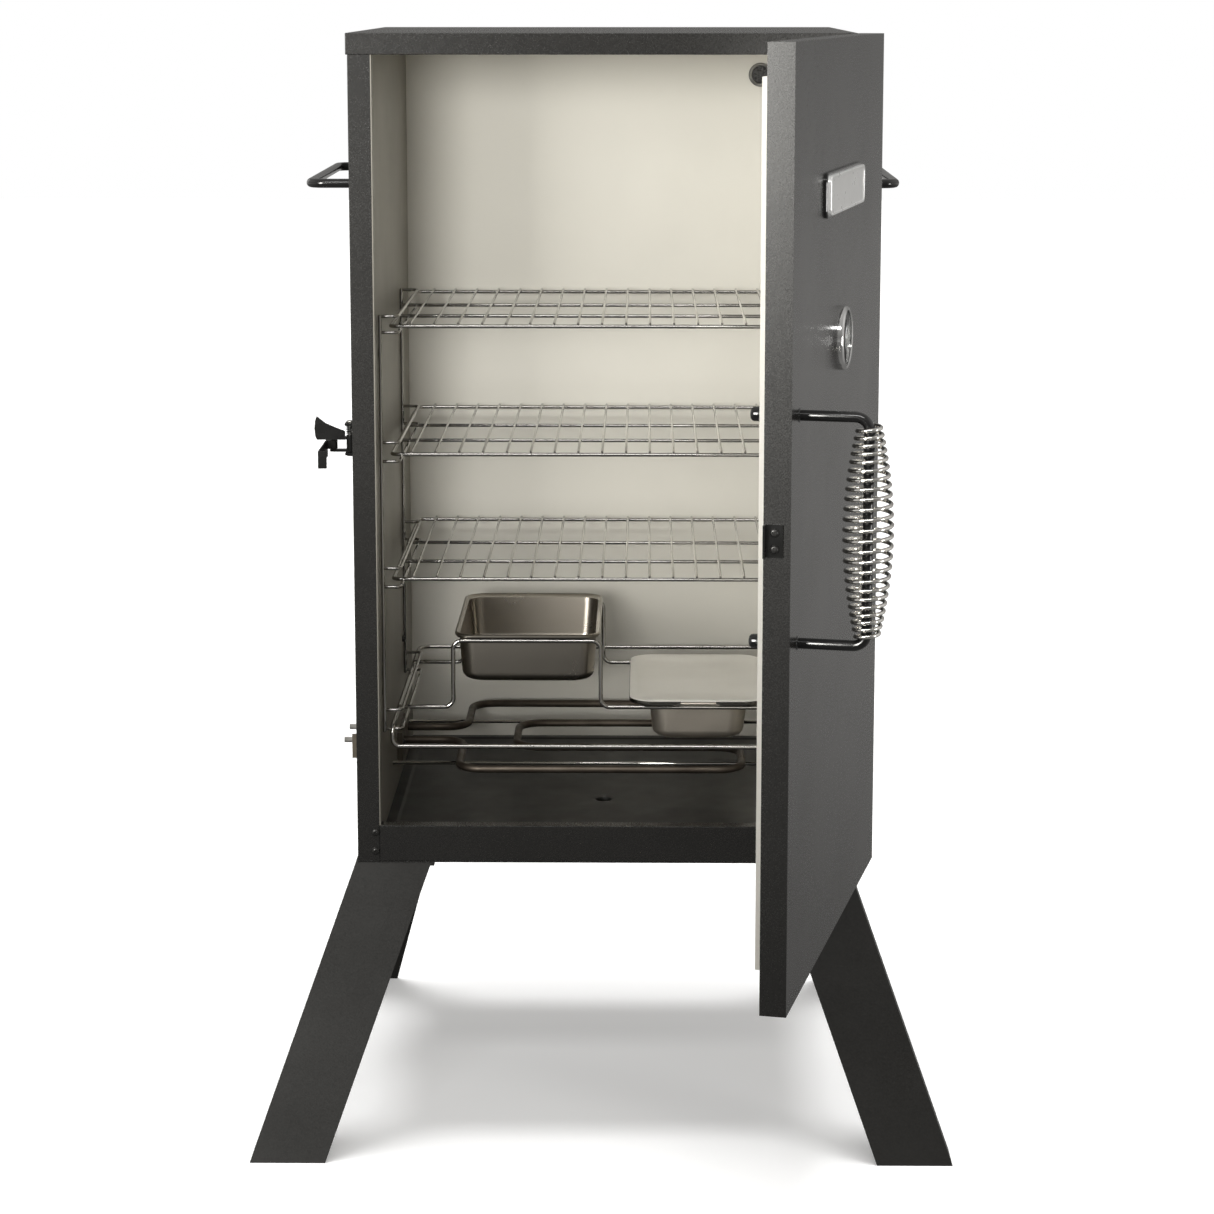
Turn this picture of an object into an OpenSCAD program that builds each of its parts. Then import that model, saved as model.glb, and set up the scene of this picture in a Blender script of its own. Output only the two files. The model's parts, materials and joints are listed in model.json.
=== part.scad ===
/* [Cabinet] */
// Width over the outer side panels
cab_w = 427; // [420:1:434]
// Depth from the front frame to the back panel
cab_d = 394; // [388:1:400]
// Height of the lid's top above the floor
total_h = 975; // [970:1:985]
// Height of the cabinet's underside above the floor
cab_z0 = 256; // [250:1:258]
// Thickness of the double wall, which is also the width of the front stiles
wall_t = 19; // [18:0.5:20]
// Thickness of the outer steel sheet
skin_t = 1.2; // [1:0.1:1.5]
// Thickness of the inner liner sheet
liner_t = 1.0; // [0.8:0.1:1.2]
// Height of the lid's skirt
lid_skirt = 18; // [16:1:20]

/* [Door] */
// Width of the door
door_w = 430; // [428:1:430]
// Height of the door
door_h = 710; // [705:1:712]
// Thickness of the door's outer skin, without its inner pan
door_t = 20; // [19:0.5:21]
// How far the pan stands into the cabinet when the door is shut
pan_depth = 8; // [6:0.5:9]
// How far the door stands open in the rest pose, in degrees
door_rest = 77.35; // [70:0.05:85]

/* [Racks] */
// Distance between the long wires of a rack
wire_pitch = 20.8; // [20:0.1:21]
// Half the width of a rack, to its side wire's axis
rack_half_w = 184; // [183:0.5:185]
// Distance of a rack's front wire behind the front frame
rack_front = 51; // [45:1:55]
// Distance of a rack's back wire behind the front frame
rack_back = 357; // [350:1:360]

/* [Legs] */
// Width of a leg's front face
leg_w = 66; // [60:1:70]
// Width of a leg's side flange
leg_flange = 40; // [35:1:50]
// Sideways splay of a front leg from top to floor
leg_splay_front = 91; // [80:1:95]
// Sideways splay of a back leg from top to floor
leg_splay_back = 68; // [60:1:90]
// Forward or backward splay of a leg from top to floor
leg_splay_y = 55; // [50:1:60]

/* [Hidden] */
$fn = 48;
xw = cab_w / 2;              // outer face of a side panel
yf = -cab_d / 2;             // front frame plane
yb = cab_d / 2;              // outer face of the back panel
xi = xw - wall_t;            // inner edge of a stile
xl = xi - 0.1;               // outer face of a side liner
xin = xl - liner_t;          // inner face of a side liner
lip = 10;                    // depth of a stile's return lip
panel_z1 = total_h - 3;      // top of the side and back panels
lid_z0 = total_h - lid_skirt;
ceiling_z = lid_z0 + 1.5;    // underside of the ceiling liner
sill_z1 = cab_z0 + 33;       // top of the front sill
floor_z = 277;               // top of the liner's floor
liner_y1 = yf + 377;         // inner face of the back liner
sink = 0.15;                 // clearance round a fastener's shank

// screws: one size of pan-head machine screw all over
screw_r = 1.6;
screw_head_r = 3.2;
screw_head_h = 2.2;
screw_len = 5.2;

// rack supports
post_x = 191.5;
post_r = 1.6;
guide_x = 176;
guide_r = 1.4;
post_y = [yf + 32, yf + 267];
guide_z = [[719, 733], [606.5, 623], [495.5, 512], [368.5, 385.5]];
rack_r = 1.7;                // frame and cross wires of a rack
long_r = 1.1;                // long wires of a rack
rack_lift = 0.3;             // gap between a rack and the guide under it
rack_cross = [yf + 136, yf + 231]; // cross wires between a rack's front and back

// wire frame that carries the water pan and the chip tray
tray_r = 2;
tray_z = guide_z[3][0] + guide_r + tray_r + 0.4;
cross_z = tray_z + 2 * tray_r - 0.4;
tray_y = [yf + 84, yf + 268];
cradle_x = [-134, -1.8];
cradle_z = 436.4;
pan_c = [-67.5, yf + 176];
chip_c = [85.7, yf + 176];

// heating element
elem_z = 316;
elem_r = 3.6;
elem_bend = 22;
term_y = [yf + 201, yf + 252];
rod_y = [yf + 137.6, yf + 298];
support_z = elem_z - elem_r - 2.2;

// hinge axis, latch and handles
hinge_x = 218.5;
hinge_y = yf - 4;
hinge_r = 3;
hinge_z = [352, 828];
hinge_len = 60;
door_in = yf - 2.5;          // inner face of the closed door's flange
door_out = door_in - door_t; // outer face of the closed door
door_z0 = total_h - door_h;
door_x = door_w / 2;
pan_x = 191;
pan_z = [292, 950];
grip_x = -183;
grip_z = [540, 708];
grip_y = door_out - 51;
rod_r = 4;
gauge_z = 744;
badge_z = 859;
keeper_z = 621;
keeper_screw_y = door_out + 11.6;
keeper_dz = 6;

latch_p = [-219.5, yf + 45]; // lever pin
latch_arm = 14.5;            // from the lever pin to the hook pin
hook_z = [608.5, 623.5];
side_handle_z = 845;
side_handle_y = [yf + 69, yf + 325];
side_handle_x = 254;
vent_x = 148;
vent_z = 930;
vent_r = 8.5;
damper_x = vent_x + 18;
drain_y = yf + 146;
bolt_r = 3;

// ---------- helpers ----------
function unit(v) = v / norm(v);
// points of a quarter arc, for rounded outlines
function arc(c, r, a0, n = 6) =
  [for (i = [0:n]) c + r * [cos(a0 + 90 * i / n), sin(a0 + 90 * i / n)]];

// box from its lowest to its highest corner
module block(lo, hi) {
  translate(lo) cube(hi - lo);
}

// rod between two points along one axis
module rod(p, q, r) {
  d = q - p;
  translate(p)
    rotate([0, acos(d[2] / norm(d)), atan2(d[1], d[0])])
      cylinder(h = norm(d), r = r);
}

// quarter bend at corner b of the path a, b, c
module elbow(a, b, c, bend, r) {
  d1 = unit(b - a);
  d2 = unit(c - b);
  w = cross(-d2, d1);
  o = b - bend * d1 + bend * d2;
  multmatrix([[-d2[0], d1[0], w[0], o[0]], [-d2[1], d1[1], w[1], o[1]],
    [-d2[2], d1[2], w[2], o[2]], [0, 0, 0, 1]])
    rotate_extrude(angle = 90) translate([bend, 0]) circle(r = r);
}

// wire along a path of square corners, each bent to a radius
module bent_wire(pts, bend, r, closed = false) {
  n = len(pts);
  last = closed ? n : n - 1;
  for (i = [0:last - 1]) {
    p = pts[i];
    q = pts[(i + 1) % n];
    u = unit(q - p);
    rod(p + (closed || i > 0 ? bend : 0) * u, q - (closed || i < n - 2 ? bend : 0) * u, r);
  }
  for (i = [(closed ? 0 : 1):(closed ? n - 1 : n - 2)])
    elbow(pts[(i + n - 1) % n], pts[i], pts[(i + 1) % n], bend, r);
}

// upright prism of a rectangle with round corners
module round_block(c, w, d, r, z0, z1) {
  x = w / 2 - r;
  y = d / 2 - r;
  translate([c[0], c[1], z0])
    linear_extrude(height = z1 - z0)
      polygon(concat(arc([x, y], r, 0), arc([-x, y], r, 90), arc([-x, -y], r, 180), arc([x, -y], r, 270)));
}

// pan-head screw whose head sits at p and whose shank points along dir
module screw(p, dir, len = screw_len) {
  rod(p - screw_head_h * dir, p, screw_head_r);
  rod(p - 0.5 * dir, p + len * dir, screw_r);
}

// hole for that screw's shank
module screw_hole(p, dir, len = screw_len + 1) {
  rod(p - 4 * dir, p + len * dir, screw_r + sink);
}

// hexagonal nut round a shaft of radius r, standing on p along dir
module hex_nut(p, dir, flat_r, h, r) {
  difference() {
    translate(p)
      rotate([0, acos(dir[2]), atan2(dir[1], dir[0])])
        cylinder(h = h, r = flat_r, $fn = 6);
    rod(p - dir, p + (h + 1) * dir, r + 0.05);
  }
}

module mirrored() {
  mirror([1, 0, 0]) children();
}

// turns a closed-door shape into the door's rest pose
module at_door() {
  translate([hinge_x, hinge_y, 0])
    rotate([0, 0, door_rest])
      translate([-hinge_x, -hinge_y, 0]) children();
}

// ---------- fastener places: [point, direction of the shank] ----------
left_wall_screws = [for (y = [post_y[0] + 5.6, post_y[1] - 5.6], z = [400, 700]) [[-xin, y, z], [-1, 0, 0]]];
sill_screws = [for (s = [-1, 1], z = [266, 283]) [[s * (xi + 3.3), yf, z], [0, 1, 0]]];
latch_screws = [for (y = [latch_p[1] - 11.5, latch_p[1] + 11.5]) [[-xw - 2, y, 632.5], [1, 0, 0]]];
hinge_screws = [for (z0 = hinge_z, dz = [12, 48]) [[xw + 2.2, yf + 18, z0 + dz], [-1, 0, 0]]];
damper_screw = [[damper_x, yb + 1.7, vent_z], [0, -1, 0]];
rail_screws = [for (s = [-1, 1], y = [-80, 50]) [[s * 95, y, cab_z0 - 1.2], [0, 0, 1]]];
bracket_screws = [for (y = [yf + 178, yf + 274]) [[-xw - 1.5, y, 313.5], [1, 0, 0]]];
block_screws = [for (y = [term_y[0] - 9, term_y[1] + 9]) [[-xin + 5, y, elem_z], [-1, 0, 0]]];
hinge_door_screws = [for (z0 = hinge_z, dz = [8, 52]) [[door_x + 2, door_out + 9, z0 + dz], [-1, 0, 0]]];
keeper_screws = [for (s = [-1, 1])
  [[-door_x - 1.4, keeper_screw_y, keeper_z + s * keeper_dz], [1, 0, 0]]];
leg_bolts = [[-195, -147, 0], [-163, -177, 0]];

module holes(list) {
  for (s = list)
    screw_hole(s[0], s[1]);
}

module each_corner_bolt() {
  for (sx = [1, -1], sy = [1, -1])
    for (b = leg_bolts)
      translate([sx * b[0], sy * b[1], 0]) children();
}

// ---------- cabinet shell ----------
module side_sheet() {
  // one bent sheet: stile with its return lip, side, and rear flange
  translate([0, 0, cab_z0 + skin_t])
    linear_extrude(height = panel_z1 - cab_z0 - skin_t)
      polygon([[-xw, yf], [-xi, yf], [-xi, yf + lip], [-xi - skin_t, yf + lip],
        [-xi - skin_t, yf + skin_t], [-xw + skin_t, yf + skin_t], [-xw + skin_t, yb - 2 * skin_t],
        [-xw + 18, yb - 2 * skin_t], [-xw + 18, yb - skin_t], [-xw, yb - skin_t]]);
}

module side_panel_left() {
  color("#34322f") difference() {
    side_sheet();
    for (y = side_handle_y)
      rod([-xw - 1, y, side_handle_z], [-xw + 3, y, side_handle_z], rod_r + 0.1);
    for (y = term_y)
      rod([-xw - 1, y, elem_z], [-xw + 3, y, elem_z], 6.2);
    holes(latch_screws);
    holes(bracket_screws);
    holes(sill_screws);
  }
}

module side_panel_right() {
  color("#34322f") difference() {
    mirrored() side_sheet();
    for (y = side_handle_y)
      rod([xw - 3, y, side_handle_z], [xw + 1, y, side_handle_z], rod_r + 0.1);
    holes(hinge_screws);
    holes(sill_screws);
  }
}

module back_panel() {
  color("#34322f") difference() {
    block([-xw, yb - skin_t, cab_z0 + skin_t], [xw, yb, panel_z1]);
    rod([vent_x, yb - 3, vent_z], [vent_x, yb + 1, vent_z], vent_r + 1.1);
    screw_hole(damper_screw[0], damper_screw[1]);
  }
}

module bottom_panel() {
  color("#2e2c2a") difference() {
    block([-xw, yf, cab_z0], [xw, yb, cab_z0 + skin_t]);
    rod([0, drain_y, cab_z0 - 1], [0, drain_y, cab_z0 + 3], 8.3);
    holes(rail_screws);
    each_corner_bolt()
      rod([0, 0, cab_z0 - 1], [0, 0, cab_z0 + 3], bolt_r + 0.1);
  }
}

module front_sill() {
  x = xi - 0.3;
  z0 = cab_z0 + skin_t;
  color("#34322f")
    translate([-x, 0, 0])
      rotate([90, 0, 90])
        linear_extrude(height = 2 * x)
          polygon([[yf, z0], [yf, sill_z1], [yf + 14, sill_z1], [yf + 14, floor_z - liner_t],
            [yf + 14 - skin_t, floor_z - liner_t], [yf + 14 - skin_t, sill_z1 - skin_t],
            [yf + skin_t, sill_z1 - skin_t], [yf + skin_t, z0]]);
}

module top_lid() {
  over = 1.5;
  color("#3c3b39") difference() {
    block([-xw - over, yf - over, lid_z0], [xw + over, yb + over, total_h]);
    block([-xw - over + skin_t, yf - over + skin_t, lid_z0 - 1],
      [xw + over - skin_t, yb + over - skin_t, total_h - skin_t]);
  }
}

// ---------- liner ----------
module liner_side_sheet() {
  difference() {
    block([-xl, yf + 0.4, floor_z - liner_t], [-xin, liner_y1, ceiling_z]);
    block([-xl - 1, yf, floor_z - 5], [-xin + 1, yf + 14.2, sill_z1 + 0.2]);
  }
}

module liner_left() {
  color("#dcd8cc") difference() {
    liner_side_sheet();
    holes(left_wall_screws);
    holes(block_screws);
    for (y = term_y)
      rod([-xl - 1, y, elem_z], [-xin + 1, y, elem_z], elem_r + 0.3);
    for (y = rod_y)
      rod([-xl - 1, y, support_z], [-xin + 1, y, support_z], 1.8);
  }
}

module liner_right() {
  color("#dcd8cc") difference() {
    mirrored() liner_side_sheet();
    mirrored() holes(left_wall_screws);
    for (y = rod_y)
      rod([xin - 1, y, support_z], [xl + 1, y, support_z], 1.8);
  }
}

module liner_back() {
  color("#dcd8cc") difference() {
    block([-xl, liner_y1, floor_z - liner_t], [xl, liner_y1 + liner_t, ceiling_z]);
    rod([vent_x, liner_y1 - 1, vent_z], [vent_x, liner_y1 + 3, vent_z], vent_r + 1.1);
  }
}

module liner_ceiling() {
  color("#dcd8cc")
    block([-xl, yf + 0.4, ceiling_z], [xl, liner_y1 + liner_t, ceiling_z + liner_t]);
}

module liner_floor() {
  // black floor pan with the spout that drains it
  color("#2a2926") difference() {
    union() {
      block([-xin + 0.1, yf + 14.2, floor_z - liner_t], [xin - 0.1, liner_y1 - 0.1, floor_z]);
      rod([0, drain_y, cab_z0 - 6], [0, drain_y, floor_z], 8);
    }
    rod([0, drain_y, cab_z0 - 7], [0, drain_y, floor_z + 1], 7);
  }
}

module wall_insulation() {
  // four separate mats: left, right, back and top
  mat_x = [xw - 6.7, xl + 5];
  color("#b9b29a") {
    difference() {
      block([-mat_x[0], yf + 17, 262], [-mat_x[1], liner_y1 - 4, 945]);
      block([-mat_x[0] - 1, term_y[0] - 22, 290], [-mat_x[1] + 1, term_y[1] + 22, 345]);
      for (y = rod_y)
        rod([-mat_x[0] - 1, y, support_z], [-mat_x[1] + 1, y, support_z], 6);
    }
    difference() {
      block([mat_x[1], yf + 17, 262], [mat_x[0], liner_y1 - 4, 945]);
      for (y = rod_y)
        rod([mat_x[1] - 1, y, support_z], [mat_x[0] + 1, y, support_z], 6);
    }
    difference() {
      block([-186, liner_y1 + liner_t + 2, 262], [186, yb - 4.5, 945]);
      rod([vent_x, liner_y1, vent_z], [vent_x, yb, vent_z], vent_r + 3);
      block([damper_x - 6, liner_y1, vent_z - 6], [damper_x + 6, yb, vent_z + 6]);
    }
    block([-190, yf + 12, ceiling_z + liner_t + 1], [190, liner_y1 - 4, total_h - skin_t - 1]);
  }
}

module cabinet_screws() {
  color("#6f6c66") {
    for (s = left_wall_screws) {
      screw(s[0], s[1]);
      mirrored() screw(s[0], s[1]);
    }
    for (s = concat(sill_screws, latch_screws, hinge_screws, [damper_screw], rail_screws, bracket_screws))
      screw(s[0], s[1]);
    for (s = block_screws)
      screw(s[0], s[1], 9);
  }
}

// ---------- rack supports ----------
module rack_support() {
  for (y = post_y)
    rod([-post_x, y, 365], [-post_x, y, 734.5], post_r);
  for (level = guide_z)
    for (z = level)
      bent_wire([[-post_x, post_y[0], z], [-guide_x, post_y[0], z],
        [-guide_x, post_y[1], z], [-post_x, post_y[1], z]], 5, guide_r);
}

module rack_support_left() {
  color("#c9c7c1") rack_support();
}

module rack_support_right() {
  color("#c9c7c1") mirrored() rack_support();
}

// ---------- heating ----------
module heating_element() {
  z = elem_z;
  y = [yf + 94, yf + 175, yf + 269, yf + 349];
  right = 126;
  mid = -82;
  path = [[-xl - 3, term_y[0], z], [-131, term_y[0], z], [-131, y[0], z], [right, y[0], z],
    [right, y[1], z], [mid, y[1], z], [mid, y[2], z], [right, y[2], z], [right, y[3], z],
    [-131, y[3], z], [-131, term_y[1], z], [-xl - 3, term_y[1], z]];
  color("#38302a") bent_wire(path, elem_bend, elem_r);
}

module element_support_rods() {
  color("#c9c7c1")
    for (y = rod_y) {
      rod([-xl - 3, y, support_z], [xl + 3, y, support_z], 1.6);
      for (s = [-1, 1])
        rod([s * (xl + 0.6), y, support_z], [s * (xl + 2.6), y, support_z], 3);
    }
}

module element_block() {
  // clamp block that holds both ends of the element on the liner
  color("#4b4338") difference() {
    block([-xin, term_y[0] - 14, elem_z - 17], [-xin + 5, term_y[1] + 14, elem_z + 10]);
    for (y = term_y)
      rod([-xin - 1, y, elem_z], [-xin + 6, y, elem_z], elem_r + 0.1);
    holes(block_screws);
  }
}

module terminal_insulators() {
  color("#e6e0d2")
    for (y = term_y)
      difference() {
        rod([-xw - 4, y, elem_z], [-xl - 3.2, y, elem_z], 6);
        rod([-xw - 5, y, elem_z], [-xl - 2, y, elem_z], 2.7);
      }
}

module terminal_pins() {
  color("#c8c6c0")
    for (y = term_y)
      rod([-xw - 30.5, y, elem_z], [-xl - 3.2, y, elem_z], 2.6);
}

module controller_bracket() {
  // guard that stands off the side panel round the two pins
  y0 = term_y[0] - 30;
  y1 = term_y[1] + 30;
  color("#55524c") difference() {
    union() {
      block([-xw - 1.5, y0, 302], [-xw, y1, 325]);
      block([-xw - 22, y0 + 15, 302], [-xw, y0 + 16.5, 325]);
      block([-xw - 22, y1 - 16.5, 302], [-xw, y1 - 15, 325]);
      block([-xw - 22, y0 + 15, 302], [-xw, y1 - 15, 303.5]);
    }
    for (y = term_y)
      rod([-xw - 2, y, elem_z], [-xw + 1, y, elem_z], 6.3);
    holes(bracket_screws);
  }
}

// ---------- carrying handles and legs ----------
module side_handle() {
  x1 = side_handle_x;
  z = side_handle_z;
  bent_wire([[-xw + 6.6, side_handle_y[0], z], [-x1, side_handle_y[0], z],
    [-x1, side_handle_y[1], z], [-xw + 6.6, side_handle_y[1], z]], 12, rod_r);
}

module side_handle_left() {
  color("#1f1e1d") side_handle();
}

module side_handle_right() {
  color("#1f1e1d") mirrored() side_handle();
}

// leg of bent angle sheet at the front left corner: an L section that runs straight
// down from its mounting plate and splays out by dx and dy on the way to the floor
module leg(dx, dy) {
  t = 2.5;
  top = cab_z0 - 1;
  section = [[0, 0], [leg_w, 0], [leg_w, t], [t, t], [t, leg_flange], [0, leg_flange]];
  c = [-xw - 2.2, yf - 0.5];
  high = [for (p = section) [c[0] + p[0], c[1] + p[1], top]];
  low = [for (p = section) [c[0] - dx + p[0], c[1] - dy + p[1], 0]];
  n = len(section);
  difference() {
    union() {
      polyhedron(points = concat(low, high), faces = concat(
        [[for (i = [0:n - 1]) i]], [[for (i = [n - 1:-1:0]) n + i]],
        [for (i = [0:n - 1]) [(i + 1) % n, i, n + i, n + (i + 1) % n]]));
      block([c[0], c[1], cab_z0 - 3], [c[0] + 69, c[1] + 69, cab_z0]);
    }
    for (b = leg_bolts)
      rod([b[0], b[1], cab_z0 - 5], [b[0], b[1], cab_z0 + 1], bolt_r + 0.1);
  }
}

module leg_front_left() {
  color("#4b463e") leg(leg_splay_front, leg_splay_y);
}

module leg_front_right() {
  color("#4b463e") mirrored() leg(leg_splay_front, leg_splay_y);
}

module leg_back_left() {
  color("#4b463e") mirror([0, 1, 0]) leg(leg_splay_back, leg_splay_y);
}

module leg_back_right() {
  color("#4b463e") mirrored() mirror([0, 1, 0]) leg(leg_splay_back, leg_splay_y);
}

module bolts_and_nuts() {
  // hexagon bolts and nuts of the legs, and the nuts of the carrying handles
  color("#8c8a84") {
    each_corner_bolt() {
      rod([0, 0, cab_z0 - 7], [0, 0, cab_z0 - 3], 5.2);
      rod([0, 0, cab_z0 - 3.5], [0, 0, cab_z0 + 7], bolt_r);
      hex_nut([0, 0, cab_z0 + skin_t], [0, 0, 1], 5.6, 4, bolt_r);
    }
    for (y = side_handle_y, s = [-1, 1])
      hex_nut([s * (xw - skin_t), y, side_handle_z], [-s, 0, 0], 6.8, 5, rod_r);
  }
}

// ---------- drip tray under the cabinet ----------
module drip_tray_rails() {
  z0 = cab_z0 - 10;
  color("#2e2c2a")
    for (s = [-1, 1])
      difference() {
        union() {
          block([min(s * 88, s * 89.2), -105, z0], [max(s * 88, s * 89.2), 75, cab_z0]);
          block([min(s * 80, s * 89.2), -105, z0], [max(s * 80, s * 89.2), 75, z0 + 1.2]);
          block([min(s * 88, s * 100), -105, cab_z0 - 1.2], [max(s * 88, s * 100), 75, cab_z0]);
        }
        holes(rail_screws);
      }
}

module drip_tray() {
  z0 = 229;
  z1 = cab_z0 - 7.4;
  c = [0, -20];
  color("#8f8c86") difference() {
    union() {
      round_block(c, 156, 160, 8, z0, z1);
      round_block(c, 172, 168, 10, z1 - 1, z1);
      block([-22, c[1] - 92, z1 - 9], [22, c[1] - 79.5, z1 - 7.5]);
    }
    round_block(c, 154, 158, 7, z0 + 1, z1 + 1);
  }
}

// ---------- vent ----------
module vent_sleeve() {
  color("#26251f") difference() {
    union() {
      rod([vent_x, liner_y1, vent_z], [vent_x, yb, vent_z], vent_r + 1);
      rod([vent_x, liner_y1 - 0.8, vent_z], [vent_x, liner_y1, vent_z], vent_r + 3);
    }
    rod([vent_x, liner_y1 - 2, vent_z], [vent_x, yb + 1, vent_z], vent_r);
  }
}

module vent_damper() {
  y0 = yb + 0.3;
  y1 = yb + 1.6;
  color("#34322f") difference() {
    union() {
      rod([vent_x, y0, vent_z], [vent_x, y1, vent_z], 12.5);
      block([vent_x, y0, vent_z - 6], [damper_x, y1, vent_z + 6]);
      rod([damper_x, y0, vent_z], [damper_x, y1, vent_z], 6);
      block([vent_x - 16, y0, vent_z - 4], [vent_x - 5, y1, vent_z + 4]);
      block([vent_x - 17.5, y0, vent_z - 4], [vent_x - 16, y1 + 6, vent_z + 4]);
    }
    rod([damper_x, y0 - 1, vent_z], [damper_x, y1 + 1, vent_z], screw_r + 0.07);
  }
}

// ---------- hinges ----------
module barrel(z0, z1) {
  translate([hinge_x, hinge_y, z0]) cylinder(h = z1 - z0, r = hinge_r);
}

module hinge_leaves_cabinet() {
  // plate on the side panel, with arms to the two outer knuckles
  arm = [[-5, 4.5], [-2.8, 7], [1.5, 2.4], [-2.6, 1.3]];
  color("#1f1e1d")
    for (z0 = hinge_z)
      difference() {
        union() {
          block([xw, yf + 0.5, z0], [xw + 2.2, yf + 30, z0 + hinge_len]);
          for (z = [z0, z0 + 40.3]) {
            barrel(z, z + 19.7);
            translate([hinge_x, hinge_y, z]) linear_extrude(height = 19.7) polygon(arm);
          }
        }
        translate([hinge_x, hinge_y, z0 - 1]) cylinder(h = hinge_len + 2, r = 1.52);
        holes(hinge_screws);
      }
}

module hinge_leaves_door() {
  color("#1f1e1d") at_door()
    for (z0 = hinge_z)
      difference() {
        union() {
          block([door_x, door_out + 2, z0], [door_x + 2, door_in - 5.2, z0 + hinge_len]);
          barrel(z0 + 20.2, z0 + 39.8);
          block([door_x, door_in - 6, z0 + 20.2], [hinge_x, hinge_y, z0 + 39.8]);
        }
        translate([hinge_x, hinge_y, z0 - 1]) cylinder(h = hinge_len + 2, r = 1.56);
        holes(hinge_door_screws);
      }
}

module pivot_pins() {
  // two hinge pins and the lever's pin
  color("#8c8a84") {
    for (z0 = hinge_z)
      translate([hinge_x, hinge_y, 0]) {
        translate([0, 0, z0 - 1.5]) cylinder(h = hinge_len + 3, r = 1.5);
        translate([0, 0, z0 - 1.5]) cylinder(h = 1.5, r = 2.6);
        translate([0, 0, z0 + hinge_len]) cylinder(h = 1.5, r = 2.6);
      }
    translate([latch_p[0], latch_p[1], 609.5]) cylinder(h = 31, r = 2);
    translate([latch_p[0], latch_p[1], 609.5]) cylinder(h = 1.5, r = 3);
    translate([latch_p[0], latch_p[1], 639]) cylinder(h = 1.5, r = 3);
  }
}

// ---------- latch ----------
module latch_base() {
  y = latch_p[1];
  color("#26251f") difference() {
    union() {
      block([-xw - 2, y - 15, 611], [-xw, y + 15, 639]);
      for (z = [611, 637])
        block([-xw - 10, y - 8, z], [-xw, y + 8, z + 2]);
    }
    translate([latch_p[0], y, 600]) cylinder(h = 50, r = 2.02);
    holes(latch_screws);
  }
}

module latch_lever() {
  // hub, two arms that carry the hook's pin, and a paddle that flares upward
  color("#26251f") translate([latch_p[0], latch_p[1], 0]) difference() {
    union() {
      translate([0, 0, 613.5]) cylinder(h = 14.5, r = 3.4);
      for (z = [613.5, 624.5])
        translate([0, 0, z]) {
          translate([-latch_arm, -3.4, 0]) cube([latch_arm, 6.8, 2]);
          translate([-latch_arm, 0, 0]) cylinder(h = 2, r = 3.4);
        }
      translate([-latch_arm - 3.4, -6, 624.5]) cube([latch_arm, 6, 2]);
      translate([-latch_arm, 0, 615]) cylinder(h = 10, r = 1.75);
      translate([0, -4, 0])
        rotate([90, 0, 0])
          linear_extrude(height = 2)
            polygon([[-4, 624.5], [-4, 632], [-12, 635], [-21, 639], [-28.5, 645], [-30, 641],
              [-30.6, 634.5], [-30, 628], [-28.5, 624.5]]);
      translate([-29.5, -6, 626]) cube([1.5, 6, 17]);
    }
    translate([0, 0, 600]) cylinder(h = 40, r = 2.06);
  }
}

module latch_hook() {
  // flat hook that reaches forward from its hub and turns in at the end
  reach = latch_p[1] + latch_arm - (door_in - 4.3);
  z0 = hook_z[0];
  h = hook_z[1] - hook_z[0];
  color("#26251f") translate([latch_p[0] - latch_arm, latch_p[1], 0]) difference() {
    union() {
      translate([0, 0, 616]) cylinder(h = hook_z[1] - 616, r = 3.4);
      translate([-7, -3.4, 616]) cube([7, 6.8, hook_z[1] - 616]);
      translate([-7, -reach, z0]) cube([1.5, reach + 3.4, h]);
      translate([-7, -reach, z0]) cube([7.5, 1.5, h]);
    }
    translate([0, 0, 600]) cylinder(h = 40, r = 1.81);
  }
}

// ---------- door ----------
module door_skin() {
  color("#3c3a37") at_door() difference() {
    block([-door_x, door_out, door_z0], [door_x, door_in, total_h]);
    block([-door_x + skin_t, door_out + skin_t, door_z0 + skin_t],
      [door_x - skin_t, door_in - skin_t, total_h - skin_t]);
    block([-pan_x - 2, door_in - 3, pan_z[0] - 2], [pan_x + 2, door_in + 1, pan_z[1] + 2]);
    rod([0, door_out - 1, gauge_z], [0, door_out + 3, gauge_z], 3.4);
    for (z = grip_z)
      rod([grip_x, door_out - 1, z], [grip_x, door_out + 3, z], rod_r + 0.1);
    holes(hinge_door_screws);
    holes(keeper_screws);
  }
}

module door_liner() {
  // pan that stands into the cabinet, with a flange held behind the skin's return
  y0 = door_in - skin_t - 0.2 - liner_t;
  y1 = door_in + pan_depth;
  color("#eee8dc") at_door() difference() {
    union() {
      block([-pan_x - 11, y0, pan_z[0] - 12], [pan_x + 11, y0 + liner_t, pan_z[1] + 12]);
      block([-pan_x, y0, pan_z[0]], [pan_x, y1, pan_z[1]]);
    }
    block([-pan_x + liner_t, y0 - 1, pan_z[0] + liner_t], [pan_x - liner_t, y1 - liner_t, pan_z[1] - liner_t]);
    rod([0, y1 - 3, gauge_z], [0, y1 + 1, gauge_z], 3.4);
    for (z = grip_z)
      rod([grip_x, y1 - 3, z], [grip_x, y1 + 1, z], rod_r + 0.1);
  }
}

module door_insulation() {
  color("#b9b29a") at_door() difference() {
    block([-186, door_out + 4, pan_z[0] + 4], [186, door_in - 4, pan_z[1] - 4]);
    rod([0, door_out, gauge_z], [0, door_in, gauge_z], 6);
    for (z = grip_z)
      block([grip_x - 8, door_out, z - 8], [grip_x + 8, door_in, z + 8]);
  }
}

module badge_outline(w, h, y0, y1) {
  translate([0, y1, badge_z])
    rotate([90, 0, 0])
      round_block([0, 0], w, h, 6, 0, y1 - y0);
}

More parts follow.
